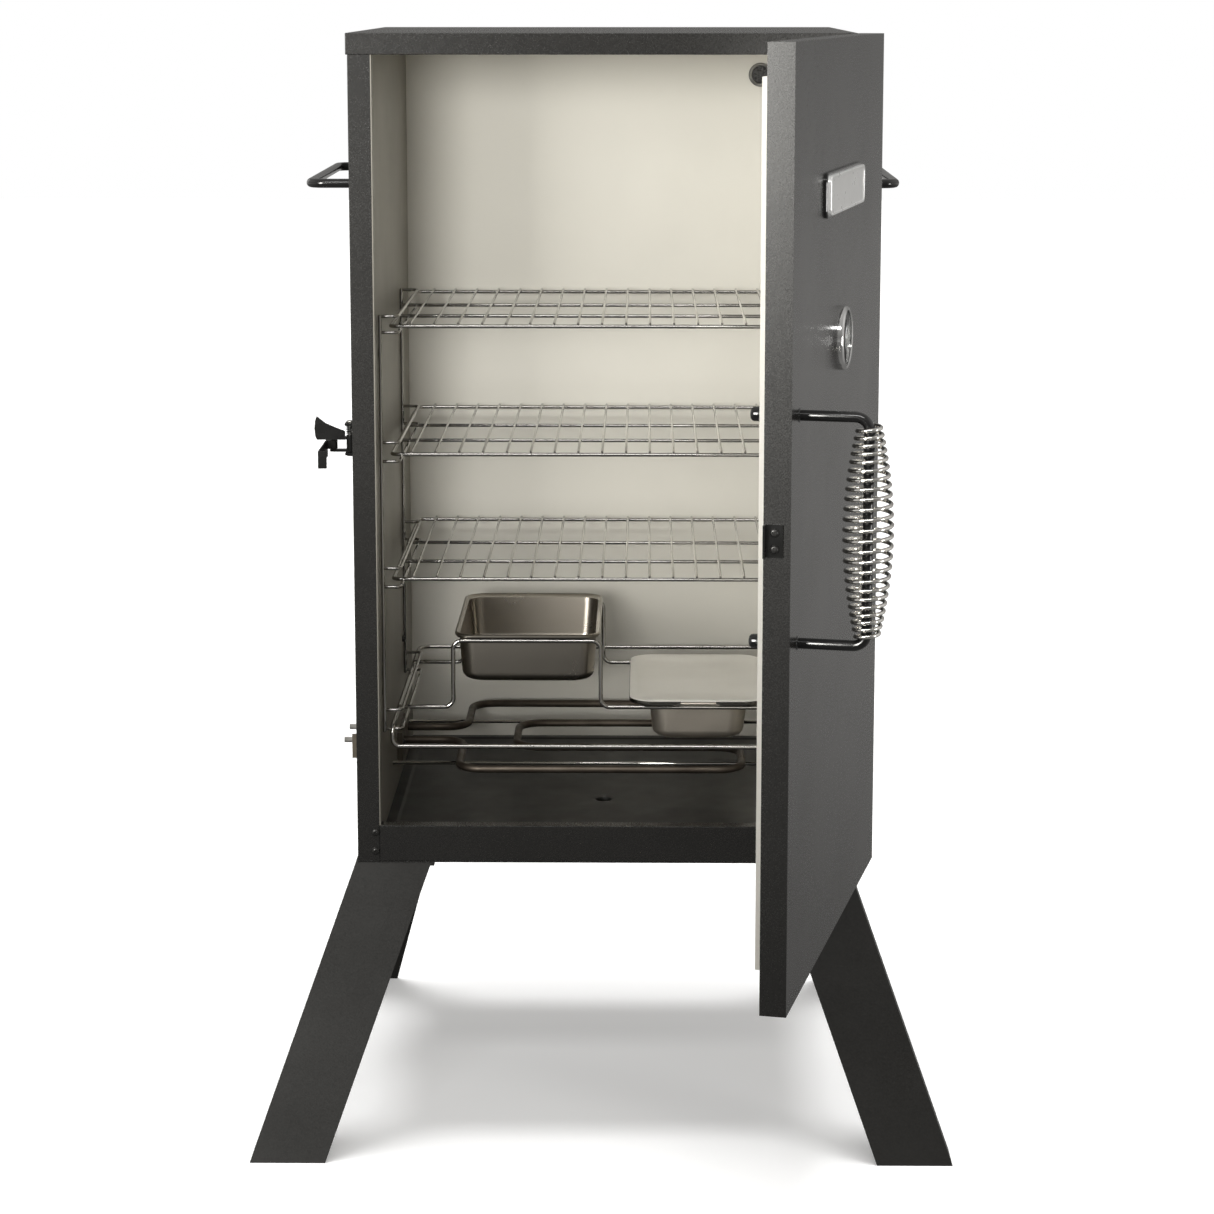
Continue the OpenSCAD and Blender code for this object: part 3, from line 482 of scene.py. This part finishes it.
def studio_world():
    """White behind the object, and for its light a dim room that is uneven by height and direction."""
    tree = world.node_tree
    dim = tree.nodes["Background"]
    white = tree.nodes.new("ShaderNodeBackground")
    white.inputs["Color"].default_value = (1, 1, 1, 1)
    white.inputs["Strength"].default_value = 1.0
    tc = tree.nodes.new("ShaderNodeTexCoord")
    split = tree.nodes.new("ShaderNodeSeparateXYZ")
    tree.links.new(tc.outputs["Generated"], split.inputs["Vector"])

    # strength by height, from straight down at -1 to straight up at 1
    down, up = 0.12, 0.30
    levels = ((-0.50, 0.10), (-0.30, 0.11), (-0.22, 0.19), (-0.10, 0.235), (-0.03, 0.18), (0.12, 0.13),
              (0.30, 0.17))
    height = tree.nodes.new("ShaderNodeValToRGB")
    stops = height.color_ramp.elements
    for z, v in levels:
        stops.new((z + 1) / 2).color = (v, v, v, 1)
    stops[0].color = (down, down, down, 1)
    stops[len(stops) - 1].color = (up, up, up, 1)
    rise = stretch_range(tree, split.outputs["Z"], (-1.0, 1.0), (0.0, 1.0))
    tree.links.new(rise, height.inputs["Fac"])

    # brighter towards the back, and much brighter at both sides
    depth = stretch_range(tree, split.outputs["Y"], (-0.5, 0.7), (1.55, 1.75))
    aside = maths(tree, "ABSOLUTE", split.outputs["X"])
    sides = stretch_range(tree, aside, (0.5, 1.0), (1.0, 2.4), smooth=True)
    strength = maths(tree, "MULTIPLY", maths(tree, "MULTIPLY", height.outputs["Color"], depth), sides)
    dim.inputs["Color"].default_value = (1.0, 0.985, 0.955, 1)
    tree.links.new(strength, dim.inputs["Strength"])

    path = tree.nodes.new("ShaderNodeLightPath")
    mix = tree.nodes.new("ShaderNodeMixShader")
    tree.links.new(path.outputs["Is Camera Ray"], mix.inputs["Fac"])
    tree.links.new(dim.outputs["Background"], mix.inputs[1])
    tree.links.new(white.outputs["Background"], mix.inputs[2])
    tree.links.new(mix.outputs["Shader"], tree.nodes["World Output"].inputs["Surface"])


studio_world()


def aimed(obj, place, aim):
    """Links a light and points it."""
    scene.collection.objects.link(obj)
    obj.location = place
    obj.rotation_mode = "QUATERNION"
    obj.rotation_quaternion = (Vector(aim) - Vector(place)).to_track_quat("-Z", "Y")
    return obj


def area_light(name, place, aim, size, watts, tint):
    """Rectangular softbox."""
    data = bpy.data.lights.new(name, "AREA")
    data.shape = "RECTANGLE"
    data.size, data.size_y = size
    data.energy = watts
    data.color = tint
    return aimed(bpy.data.objects.new(name, data), place, aim)


sun = bpy.data.lights.new("overhead", "SUN")
sun.energy = 2.6
sun.angle = math.radians(24)
overhead = aimed(bpy.data.objects.new("overhead", sun), (0, 0, 4), (0, 0, 0))
overhead.visible_glossy = False
soft = area_light("softbox_left", (-1.42, -2.85, 1.25), (0.0, 0.0, 0.72), (0.8, 1.3), 108, (1.0, 0.985, 0.94))
soft.visible_diffuse = False
area_light("softbox_right", (2.3, -1.6, 0.48), (0.2, -0.4, 0.6), (0.5, 0.9), 15, (1.0, 0.99, 0.97))
rim = area_light("softbox_back", (-2.4, 2.4, 1.5), (0.0, 0.0, 0.6), (1.6, 1.8), 7, (1.0, 0.99, 0.97))
rim.visible_diffuse = False
area_light("strip_top", (0.0, -2.5, 2.5), (0.0, 0.0, 0.6), (1.5, 0.35), 25, (1.0, 0.995, 0.98))
lamp = bpy.data.lights.new("front_fill", "SPOT")
lamp.energy = 415
lamp.color = (1.0, 0.995, 0.975)
lamp.shadow_soft_size = 0.32
lamp.spot_size = math.radians(25)
lamp.spot_blend = 1.0
front = aimed(bpy.data.objects.new("front_fill", lamp), (-0.42, -3.2, 1.12), (-0.13, 0.18, 0.88))
front.visible_glossy = False


# ---------------------------------------------------------------- wires
# heights in mm of the wires under and over each rack and the pan support
GUIDE_HEIGHTS = (719, 733, 606.5, 623, 495.5, 512, 368.5, 385.5)


def guides(side):
    """Posts and bent guides of one rack support."""
    lo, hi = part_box(f"rack_support_{side}")
    s = -1 if side == "left" else 1
    post_x = max(abs(lo.x), abs(hi.x)) - 1.6 * MM
    inner = min(abs(lo.x), abs(hi.x)) + 1.4 * MM
    y0, y1 = lo.y + 1.6 * MM, hi.y - 1.6 * MM
    bm = bmesh.new()
    for y in (y0, y1):
        sweep(bm, [(s * post_x, y, lo.z), (s * post_x, y, hi.z)], 1.6 * MM, 14)
    for z in (h * MM for h in GUIDE_HEIGHTS):
        pts = [(s * post_x, y0, z), (s * inner, y0, z), (s * inner, y1, z), (s * post_x, y1, z)]
        sweep(bm, fillet(pts, 5 * MM), 1.4 * MM, 12)
    piece(f"rack_guides_{side}", bm, "chrome", "cabinet", [f"rack_support_{side}"])


guides("left")
guides("right")


def rack(name):
    """Frame, two cross wires under it and the long wires on top."""
    lo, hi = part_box(name)
    r, long_r = 1.7 * MM, 1.1 * MM
    pitch, each_side = 20.8 * MM, 8
    x = hi.x - r
    z = lo.z + r
    top = hi.z - long_r
    y0, y1 = lo.y + r, hi.y - 2.0 * MM
    frame_path = fillet([(-x, y0, z), (x, y0, z), (x, y1, z), (-x, y1, z)], 6 * MM, closed=True)
    bm = bmesh.new()
    sweep(bm, frame_path, r, 14, closed=True)
    for y in (FRONT + 136 * MM, FRONT + 231 * MM):
        sweep(bm, [(-x, y, z), (x, y, z)], r * 0.94, 12)
    for i in range(-each_side, each_side + 1):
        sweep(bm, [(i * pitch, lo.y + 0.2 * MM, top), (i * pitch, hi.y, top)], long_r, 12)
    piece(f"{name}_wires", bm, "chrome", name, [name])


for n in ("rack_top", "rack_middle", "rack_lower"):
    rack(n)


def pan_support():
    """Frame whose front wire dips, and two wires raised into a cradle under the water pan."""
    lo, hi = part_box("tray_support")
    r = 2 * MM
    x = hi.x - r
    y0, y1 = lo.y + r, hi.y - r
    dip = lo.z + r
    z = dip + 18 * MM
    cz = z + 3.6 * MM
    top = hi.z - 1.9 * MM
    bm = bmesh.new()
    sweep(bm, fillet([(-x, y1 - 20 * MM, z), (-x, y0, z), (-x, y0, dip), (x, y0, dip), (x, y0, z),
                      (x, y1 - 20 * MM, z), (x, y1, z), (-x, y1, z)],
                     [0, 6.5 * MM, 6.5 * MM, 6.5 * MM, 6.5 * MM, 0.01 * MM, 12 * MM, 12 * MM], closed=True),
          r, 16, closed=True)
    for y in (y0 + 59 * MM, y0 + 243 * MM):
        pts = fillet([(-x, y, cz), (-134 * MM, y, cz), (-134 * MM, y, top), (-1.8 * MM, y, top),
                      (-1.8 * MM, y, cz), (x, y, cz)], 8 * MM, steps=8)
        sweep(bm, pts, 1.9 * MM, 14)
    piece("tray_support_wires", bm, "chrome", "tray_support", ["tray_support"])


pan_support()


def element():
    """One tube from the inlet, round the front and the back of the cabinet and back to the inlet."""
    lo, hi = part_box("heating_element")
    r = 3.6 * MM
    z = lo.z + r
    # its crosswise runs, from the front one to the back one
    y = [FRONT + v * MM for v in (94, 175, 201, 252, 269, 349)]
    left, right, mid = -131 * MM, hi.x - r, -82 * MM
    pts = [(lo.x, y[2], z), (left, y[2], z), (left, y[0], z), (right, y[0], z), (right, y[1], z),
           (mid, y[1], z), (mid, y[4], z), (right, y[4], z), (right, y[5], z), (left, y[5], z),
           (left, y[3], z), (lo.x, y[3], z)]
    bm = bmesh.new()
    sweep(bm, fillet(pts, 22 * MM, steps=10), r, 18)
    piece("element_tube", bm, "element", "cabinet", ["heating_element"])


element()


def side_handle(side):
    """Bent rod with a pressed collar at each end."""
    lo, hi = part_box(f"side_handle_{side}")
    s = -1 if side == "left" else 1
    r = 4 * MM
    x_out = max(abs(lo.x), abs(hi.x)) - r
    x_in = min(abs(lo.x), abs(hi.x))
    z = (lo.z + hi.z) / 2
    pts = fillet([(s * x_in, lo.y + r, z), (s * x_out, lo.y + r, z), (s * x_out, hi.y - r, z),
                  (s * x_in, hi.y - r, z)], 12 * MM, steps=8)
    collar = [(0, 0), (r * 1.75, 0), (r * 1.75, 0.8 * MM), (r * 1.45, 1.4 * MM), (r, 1.5 * MM), (0, 1.5 * MM)]
    bm = bmesh.new()
    sweep(bm, pts, r, 20)
    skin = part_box("side_panel_right")[1].x
    for y in (lo.y + r, hi.y - r):
        lathe(bm, collar, facing((s * skin, y, z), (s, 0, 0)), 24)
    piece(f"carry_handle_{side}", bm, "gloss", "cabinet", [f"side_handle_{side}"])


side_handle("left")
side_handle("right")


# ---------------------------------------------------------------- door furniture
SKIN = shut_box("door_skin")
GRIP = shut_box("door_handle_rod")
COIL = shut_box("door_handle_spring")
grip_x = (COIL[0].x + COIL[1].x) / 2
grip_y = (COIL[0].y + COIL[1].y) / 2


def door_grip():
    """Rod with its collars, the tapered coil round it, and its cap nuts."""
    r = 4 * MM
    z0, z1 = GRIP[0].z + r, GRIP[1].z - r
    back = GRIP[1].y
    pts = [(grip_x, back, z0), (grip_x, grip_y, z0), (grip_x, grip_y, z1), (grip_x, back, z1)]
    collar = [(0, 0), (5.2 * MM, 0), (5.2 * MM, 0.3 * MM), (4.7 * MM, 0.7 * MM), (r, 0.8 * MM), (0, 0.8 * MM)]
    bm = bmesh.new()
    sweep(bm, fillet(pts, 10 * MM, steps=8), r, 20)
    for z in (z0, z1):
        lathe(bm, collar, facing((grip_x, SKIN[0].y, z), (0, -1, 0)), 28)
    piece("grip_rod", bm, "gloss", "door", ["door_handle_rod"], turn=DOOR)

    wire, end_radius, swell = 1.5 * MM, 8.0 * MM, 9.4 * MM
    turns, per = 24, 28
    low, high = z0 + 6 * MM, z1 - 6 * MM
    path = []
    for i in range(turns * per + 1):
        t = i / (turns * per)
        # closer coils at both ends
        f = t - 0.030 * math.sin(2 * math.pi * t)
        radius = end_radius + swell * math.sin(math.pi * f) ** 0.9
        a = 2 * math.pi * i / per
        path.append((grip_x + radius * math.cos(a), grip_y + radius * math.sin(a), low + (high - low) * f))
    bm = bmesh.new()
    sweep(bm, path, wire, 12)
    piece("grip_coil", bm, "nickel", "door", ["door_handle_spring"], turn=DOOR)

    seat = shut_box("door_handle_nuts")[0].y
    nut = [(0, 0), (6.4, 0), (6.4, 1.0), (5.4, 1.4), (5.4, 4.6), (5.0, 6.2), (3.8, 7.4), (2.0, 7.9), (0, 8.0)]
    bm = bmesh.new()
    for z in (z0, z1):
        lathe(bm, [(x * MM, h * MM) for x, h in nut], facing((grip_x, seat, z), (0, 1, 0)), 24)
    piece("grip_cap_nuts", bm, "gloss", "door", ["door_handle_nuts"], turn=DOOR)


door_grip()


def gauge():
    """Bezel of the thermometer, and the ticks and plain numbers printed on its dial."""
    lo, hi = shut_box("thermometer_bezel")
    c = Vector(((lo.x + hi.x) / 2, hi.y, (lo.z + hi.z) / 2))
    bezel = [(0, 0), (25, 0), (25, 3.6), (24.6, 5.0), (23.6, 6.1), (22.6, 6.5), (21.8, 6.2), (21.5, 5.6),
             (21.5, 5.55), (23, 5.55), (23, 1.25), (0, 1.25)]
    bm = bmesh.new()
    lathe(bm, [(r * MM, h * MM) for r, h in bezel], facing(c, (0, -1, 0)), 72)
    piece("gauge_bezel", bm, "bezel", "door", ["thermometer_bezel"], turn=DOOR)

    # the scale turns clockwise from the lower left
    start, sweep_angle = 225, 270
    ticks, numbers = 40, 6
    y = shut_box("thermometer_dial")[0].y - 0.12 * MM
    base = Vector((c.x, y, c.z))
    thick = Vector((0, 0.1 * MM, 0))
    outer = 20.4 * MM
    bm = bmesh.new()
    for i in range(ticks + 1):
        a = math.radians(start - sweep_angle * i / ticks)
        inner, half = (16.2 * MM, 0.42 * MM) if i % 5 == 0 else (18.2 * MM, 0.2 * MM)
        d, n = Vector((math.cos(a), 0, math.sin(a))), Vector((-math.sin(a), 0, math.cos(a)))
        tick = [base + d * r + n * w
                for r, w in ((inner, half), (outer, half), (outer, -half), (inner, -half))]
        loft(bm, [tick, [p + thick for p in tick]])
    piece("gauge_ticks", bm, "ink", "door", turn=DOOR)
    for i in range(numbers + 1):
        word = str(100 + 50 * i)
        a = math.radians(start - sweep_angle * i / numbers)
        font = bpy.data.curves.new(f"number_{word}", "FONT")
        font.body = word
        font.size = 4.2 * MM
        font.align_x, font.align_y = "CENTER", "CENTER"
        font.extrude = 0.05 * MM
        holder = bpy.data.objects.new(f"number_{word}", font)
        scene.collection.objects.link(holder)
        bpy.context.view_layer.update()
        mesh = bpy.data.meshes.new_from_object(holder.evaluated_get(bpy.context.evaluated_depsgraph_get()))
        bpy.data.objects.remove(holder)
        place = base + 12.6 * MM * Vector((math.cos(a), 0, math.sin(a)))
        mesh.transform(DOOR @ Matrix.Translation(place) @ UPRIGHT)
        obj = bpy.data.objects.new(f"gauge_number_{word}", mesh)
        scene.collection.objects.link(obj)
        mesh.materials.clear()
        mesh.materials.append(MATS["ink"])
        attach(obj, "door")


gauge()


def badge():
    """Blank plate with a raised border, on a black backing."""
    lo, hi = shut_box("badge_plate")
    back_lo, back_hi = shut_box("badge_backing")
    z = (lo.z + hi.z) / 2

    def outline(box, inset, corner, depth):
        size = box[1] - box[0]
        loop = round_rect(0, 0, size.x - inset * MM, size.z - inset * MM, corner * MM, 0)
        return [Vector((p.x, p.y, -depth)) for p in loop]

    plate = (lo, hi)
    bm = bmesh.new()
    loft(bm, [outline(plate, 0, 6, hi.y - lo.y), outline(plate, 0, 6, 0.5 * MM), outline(plate, 1, 5.5, 0),
              outline(plate, 3.4, 4.4, 0), outline(plate, 4.2, 4, 0.6 * MM)])
    stand = Matrix.Translation((0, lo.y, z)) @ UPRIGHT
    piece("badge_blank", bm, "badge", "door", ["badge_plate"], turn=DOOR @ stand)

    backing = (back_lo, back_hi)
    bm = bmesh.new()
    loft(bm, [outline(backing, 0, 7, back_hi.y - back_lo.y), outline(backing, 0, 7, 0.8 * MM),
              outline(backing, 1.4, 6.4, 0)])
    stand = Matrix.Translation((0, back_lo.y, z)) @ UPRIGHT
    piece("badge_frame", bm, "gloss", "door", ["badge_backing"], turn=DOOR @ stand)


badge()


# ---------------------------------------------------------------- pans
def drafted_wall(lo, hi, body, corner, bend, draft, lip, inset):
    """Loops from a pan's floor round its bend and up its wall; an inset gives the inside."""
    cx, cy = (lo.x + hi.x) / 2, (lo.y + hi.y) / 2
    steps = 6
    loops = []
    for k in range(steps + 1):
        a = math.radians(90 * k / steps)
        rise = bend * (1 - math.cos(a))
        shrink = 2 * (bend * (1 - math.sin(a)) + inset + draft * (1 - rise / (hi.z - lo.z)))
        loops.append(round_rect(cx, cy, body[0] - shrink, body[1] - shrink, corner - inset,
                                lo.z + inset + rise))
    narrow, drop = lip
    shrink = 2 * inset + narrow
    loops.append(round_rect(cx, cy, body[0] - shrink, body[1] - shrink, corner - inset, hi.z - drop))
    return loops


def rolled_edge(cx, cy, w, d, corner, z, r, angles):
    """Loops round the outside of a rolled rim of radius r."""
    loops = []
    for a in (math.radians(v) for v in angles):
        grow = 2 * r * (math.cos(a) - 1)
        loops.append(round_rect(cx, cy, w + grow, d + grow, corner, z + r * math.sin(a)))
    return loops


def water_pan():
    """Drawn pan: up outside, out along the flange, round the rolled edge, and back down inside."""
    lo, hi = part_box("water_pan")
    cx, cy = (lo.x + hi.x) / 2, (lo.y + hi.y) / 2
    top = hi.z
    thick, roll = 1.0 * MM, 1.7 * MM
    body_w, body_d = body = (124 * MM, 174 * MM)
    rim_w, rim_d = hi.x - lo.x, hi.y - lo.y
    shape = (lo, hi, body, 14 * MM, 9 * MM, 3 * MM, (1.2 * MM, 10 * MM))
    loops = drafted_wall(*shape, 0.0)
    loops.append(round_rect(cx, cy, body_w - 0.6 * MM, body_d - 0.6 * MM, 14 * MM, top - 3.4 * MM))
    loops.append(round_rect(cx, cy, rim_w - 2.4 * MM, rim_d - 2.4 * MM, 16 * MM, top - 3.9 * MM))
    loops += rolled_edge(cx, cy, rim_w, rim_d, 17 * MM, top - roll, roll, (-60, -20, 20, 60, 90))
    loops.append(round_rect(cx, cy, rim_w - 6.4 * MM, rim_d - 7.5 * MM, 15.5 * MM, top - 1.6 * MM))
    loops.append(round_rect(cx, cy, body_w - 1.6 * MM, body_d - 1.6 * MM, 14 * MM, top - 2.4 * MM))
    loops += reversed(drafted_wall(*shape, thick))
    bm = bmesh.new()
    loft(bm, loops)
    piece("water_pan_drawn", bm, "steel", "water_pan", ["water_pan"])


water_pan()


def chip_tray():
    """Drawn tray, made like the water pan."""
    lo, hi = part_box("chip_tray")
    cx, cy = (lo.x + hi.x) / 2, (lo.y + hi.y) / 2
    top = hi.z
    thick, roll = 0.9 * MM, 1.3 * MM
    body_w, body_d = body = (88 * MM, 176 * MM)
    rim_w, rim_d = hi.x - lo.x, hi.y - lo.y
    shape = (lo, hi, body, 16 * MM, 8 * MM, 3.5 * MM, (0.8 * MM, 7 * MM))
    loops = drafted_wall(*shape, 0.0)
    loops.append(round_rect(cx, cy, body_w, body_d, 16 * MM, top - 3.4 * MM))
    loops.append(round_rect(cx, cy, rim_w - 1.4 * MM, rim_d - 1.4 * MM, 19.5 * MM, top - 3.2 * MM))
    loops += rolled_edge(cx, cy, rim_w, rim_d, 20 * MM, top - 0.4 * MM - roll, roll, (-60, 0, 60, 90))
    loops.append(round_rect(cx, cy, rim_w - 5 * MM, rim_d - 5 * MM, 18 * MM, top - 2.0 * MM))
    loops.append(round_rect(cx, cy, body_w - 1.0 * MM, body_d - 1.0 * MM, 16 * MM, top - 2.4 * MM))
    loops += reversed(drafted_wall(*shape, thick))
    bm = bmesh.new()
    loft(bm, loops)
    # the chip tray takes the lighter steel copy, with light painted into its colour
    piece("chip_tray_drawn", bm, "tray_steel_painted_light", "chip_tray", ["chip_tray"])


chip_tray()


def chip_tray_lid():
    """Lid with a shallow sunk middle, and its skirt."""
    lo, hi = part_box("chip_tray_lid")
    cx, cy = (lo.x + hi.x) / 2, (lo.y + hi.y) / 2
    w, d = hi.x - lo.x, hi.y - lo.y
    top = hi.z
    low = lo.z

    def ring(inset, z):
        """Loop of the lid's outline, inset in millimetres from its edge."""
        return round_rect(cx, cy, w - 2 * inset * MM, d - 2 * inset * MM, (22 - inset) * MM, z)

    middle = (cx, cy, w * 0.5, d * 0.6, 6 * MM)
    bm = bmesh.new()
    loft(bm, [
        round_rect(*middle, top - 1.2 * MM), ring(1.2, top - 1.2 * MM), ring(1.2, top - 0.6 * MM),
        ring(0.4, top - 0.6 * MM), ring(0.4, top - 0.35 * MM),
        ring(0.9, top), ring(8, top), ring(9.5, top - 0.6 * MM),
        round_rect(*middle, top - 0.5 * MM),
    ])
    piece("chip_tray_cover", bm, "lid_steel", "chip_tray_lid", ["chip_tray_lid"])

    # folded skirt, open at the front between two tabs that clip over the tray's rim
    gap = 19 * MM
    skirt = [ring(0.0, low + 0.5 * MM), ring(0.0, top - 0.9 * MM), ring(0.3, top - 0.6 * MM),
             ring(1.2, top - 0.6 * MM), ring(1.2, low + 0.5 * MM), ring(0.9, low), ring(0.3, low)]
    paths = []
    for loop in skirt:
        # starts with the last of the four corners, at the right of the front
        front_corner = len(loop) * 3 // 4
        path = loop[front_corner:] + loop[:front_corner]
        face = path[0].y
        paths.append([Vector((cx + gap, face, path[0].z)), *path, Vector((cx - gap, face, path[0].z))])
    bm = bmesh.new()
    loft(bm, [list(section) for section in zip(*paths)])
    for x in (cx - gap, cx + gap):
        loops = []
        for half, y, rim in ((2.6, 0.1, 0.6), (3.2, 0.0, 0.3), (3.2, 1.5, 0.3), (2.6, 1.7, 0.6)):
            head, foot = top - (rim + 0.3) * MM, low + (rim - 0.3) * MM
            loops.append([Vector((x + side * half * MM, lo.y + y * MM, z))
                          for side, z in ((1, head), (-1, head), (-1, foot), (1, foot))])
        loft(bm, loops)
    piece("chip_lid_edge", bm, "edge_steel", "chip_tray_lid")


chip_tray_lid()


def latch_spring():
    """Torsion spring round the latch pin, between the lever's hub and the base's upper ear."""
    pin_x, pin_y, _ = JOINTS["latch_lever_turn"]["pos_m"]
    hub_top, ear = 628.8 * MM, 636.2 * MM
    turns, per, radius = 5, 18, 2.9 * MM
    path = []
    for i in range(turns * per + 1):
        a = 2 * math.pi * i / per
        z = hub_top + (ear - hub_top) * i / (turns * per)
        path.append((pin_x + radius * math.cos(a), pin_y + radius * math.sin(a), z))
    bm = bmesh.new()
    sweep(bm, path, 0.6 * MM, 8)
    piece("latch_spring", bm, "screw", "cabinet")


latch_spring()


# ---------------------------------------------------------------- floor pan and screws
def dished_floor():
    """Floor sheet with a raised border and a shallow dish that falls to the drain."""
    lo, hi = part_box("liner_floor")
    cx, cy = (lo.x + hi.x) / 2, (lo.y + hi.y) / 2
    w, d, top, t = hi.x - lo.x, hi.y - lo.y, hi.z, 1.0 * MM
    hole = FRONT + 146 * MM

    def ring(inset, corner, z):
        return round_rect(cx, cy, w - inset * MM, d - inset * MM, corner * MM, z)

    def dish(r, z):
        return round_rect(0, hole, 2 * r * MM, 2 * r * MM, r * MM, z)

    loops = [ring(0, 1, top - t), ring(0, 1, top - 0.3 * MM), ring(0.6, 1, top), ring(17, 12, top),
             ring(19, 13, top - 0.15 * MM), ring(22, 14, top - 1.0 * MM), ring(24, 15, top - 1.15 * MM)]
    far = ring(24, 15, top)
    near = dish(12, top)
    for f in (k / 6 for k in range(1, 6)):
        z = top - (1.15 + 1.1 * f) * MM
        loops.append([Vector((*(p.xy * (1 - f) + q.xy * f), z)) for p, q in zip(far, near)])
    loops += [dish(12, top - 2.3 * MM), dish(9, top - 2.6 * MM), dish(7.6, top - 3.1 * MM),
              dish(7, top - 4.0 * MM), dish(7, lo.z), dish(8, lo.z), dish(8, top - 5.5 * MM),
              dish(13, top - 3.6 * MM), ring(24, 15, top - 2.1 * MM), ring(18, 13, top - t)]
    bm = bmesh.new()
    loft(bm, loops, around=True)
    piece("floor_dished", bm, "floor", "cabinet", ["liner_floor"], smooth=28)


dished_floor()


def solids(node, turn):
    """Point lists of a node's separate solids, in the frame that turn gives."""
    bm = bmesh.new()
    bm.from_mesh(NODES[node].data)
    bmesh.ops.remove_doubles(bm, verts=bm.verts, dist=1e-6)
    left, out = set(bm.verts), []
    while left:
        stack, group = [left.pop()], []
        while stack:
            v = stack.pop()
            group.append(turn @ v.co)
            for e in v.link_edges:
                o = e.other_vert(v)
                if o in left:
                    left.remove(o)
                    stack.append(o)
        out.append(group)
    bm.free()
    return sorted(out, key=lambda g: tuple(round(c, 4) for c in sum(g, Vector()) / len(g)))


def screw_place(pts):
    """Tip and outward direction of a plain screw, its head's radius and seat, and its length."""
    lo, hi = corners(pts)
    size, mid = hi - lo, (lo + hi) / 2
    axis = max(range(3), key=lambda k: min(abs(size[k] - size[j]) for j in range(3) if j != k))
    across = [k for k in range(3) if k != axis]
    wide = max(size[k] for k in across) / 2
    rim = [p[axis] for p in pts if math.hypot(*(p[k] - mid[k] for k in across)) > wide * 0.9]
    side = 1 if sum(rim) / len(rim) > mid[axis] else -1
    out = Vector((0, 0, 0))
    out[axis] = side
    tip = Vector(mid)
    tip[axis] = lo[axis] if side > 0 else hi[axis]
    seat = abs((min(rim) if side > 0 else max(rim)) - tip[axis])
    return tip, out, wide, seat, size[axis]


def pan_head(bm, place, wide, seat, total):
    """Shank and domed head of one screw, with a cross recess."""
    segs = 24
    head = total - seat
    core = wide * 0.5
    prof = [(0, 0.4 * MM), (core * 0.7, 0), (core, 0.4 * MM), (core, seat), (wide, seat),
            (wide, seat + head * 0.45), (wide * 0.93, seat + head * 0.72), (wide * 0.78, seat + head * 0.9),
            (wide * 0.62, total)]
    rings = []
    for r, z in prof:
        count = segs if r else 1
        rings.append([bm.verts.new(place @ Vector((r * math.cos(a), r * math.sin(a), z)))
                      for a in (2 * math.pi * k / segs for k in range(count))])
    for a, b in zip(rings, rings[1:]):
        for k in range(segs):
            k2 = (k + 1) % segs
            if len(a) == 1:
                bm.faces.new((a[0], b[k2], b[k]))
            else:
                bm.faces.new((a[k], a[k2], b[k2], b[k]))
    arm, half = wide * 0.50, wide * 0.13
    cross = [(half, half), (half, arm), (-half, arm), (-half, half), (-arm, half), (-arm, -half),
             (-half, -half), (-half, -arm), (half, -arm), (half, -half), (arm, -half), (arm, half)]
    n = len(cross)
    top = [bm.verts.new(place @ Vector((x, y, total))) for x, y in cross]
    low = [bm.verts.new(place @ Vector((x * 0.8, y * 0.8, total - head * 0.5))) for x, y in cross]
    for k in range(n):
        bm.faces.new((top[k], low[k], low[(k + 1) % n], top[(k + 1) % n]))
    bm.faces.new(low)
    bm.edges.ensure_lookup_table()
    rim_edges = [bm.edges.get((rings[-1][k], rings[-1][(k + 1) % segs])) for k in range(segs)]
    cross_edges = [bm.edges.get((top[k], top[(k + 1) % n])) for k in range(n)]
    bmesh.ops.triangle_fill(bm, use_beauty=True, use_dissolve=False, edges=rim_edges + cross_edges)


def pan_heads(name, node, body, turn=Matrix.Identity(4)):
    """Cross-recessed pan-head screws in place of a node's plain ones."""
    bm = bmesh.new()
    for i, pts in enumerate(solids(node, turn.inverted())):
        tip, out, wide, seat, total = screw_place(pts)
        # each screw stopped at another angle
        place = facing(tip, out) @ Matrix.Rotation(i * 1.1, 4, "Z")
        pan_head(bm, place, wide, seat, total)
    piece(name, bm, "screw", body, [node], turn=turn)


pan_heads("cabinet_pan_heads", "cabinet_screws", "cabinet")
pan_heads("door_pan_heads", "door_screws", "door", DOOR)


# ---------------------------------------------------------------- CAD nodes that keep their shape
dress("powder", "side_panel_left", "side_panel_right", "back_panel", "bottom_panel", "front_sill",
      "drip_tray_rails", bevel=0.5 * MM)
dress("powder", "top_lid", bevel=1.6 * MM, segments=3)
dress("powder", "door_skin", bevel=1.6 * MM, segments=3)
dress("powder", "vent_damper", bevel=0.2 * MM)
dress("cream", "liner_right", "liner_back", "liner_ceiling", bevel=0.2 * MM)
# the left liner takes the darker cream copy, with its shade painted into the colour
dress("cream_painted_shade", "liner_left", bevel=0.2 * MM)
dress("pan_cream", "door_liner", bevel=1.5 * MM, segments=3)
dress("wool", "wall_insulation", "door_insulation")
dress("zinc", "bolts_and_nuts", "terminal_pins", "thermometer_stem", "pivot_pins")
dress("chrome", "element_support_rods")
dress("clamp", "element_block", bevel=0.6 * MM)
dress("ceramic", "terminal_insulators")
dress("clamp", "controller_bracket", bevel=0.3 * MM)
dress("leg", "leg_front_left", "leg_front_right", "leg_back_left", "leg_back_right", bevel=0.8 * MM)
dress("trim", "latch_base", "hinge_leaves_cabinet", "hinge_leaves_door", "latch_keeper", bevel=0.4 * MM)
dress("trim", "latch_lever", "latch_hook", bevel=0.4 * MM)
dress("vent", "vent_sleeve")
dress("dial", "thermometer_dial")
dress("glass", "thermometer_lens")
dress("red", "thermometer_needle")
dress("steel", "drip_tray", bevel=0.3 * MM)
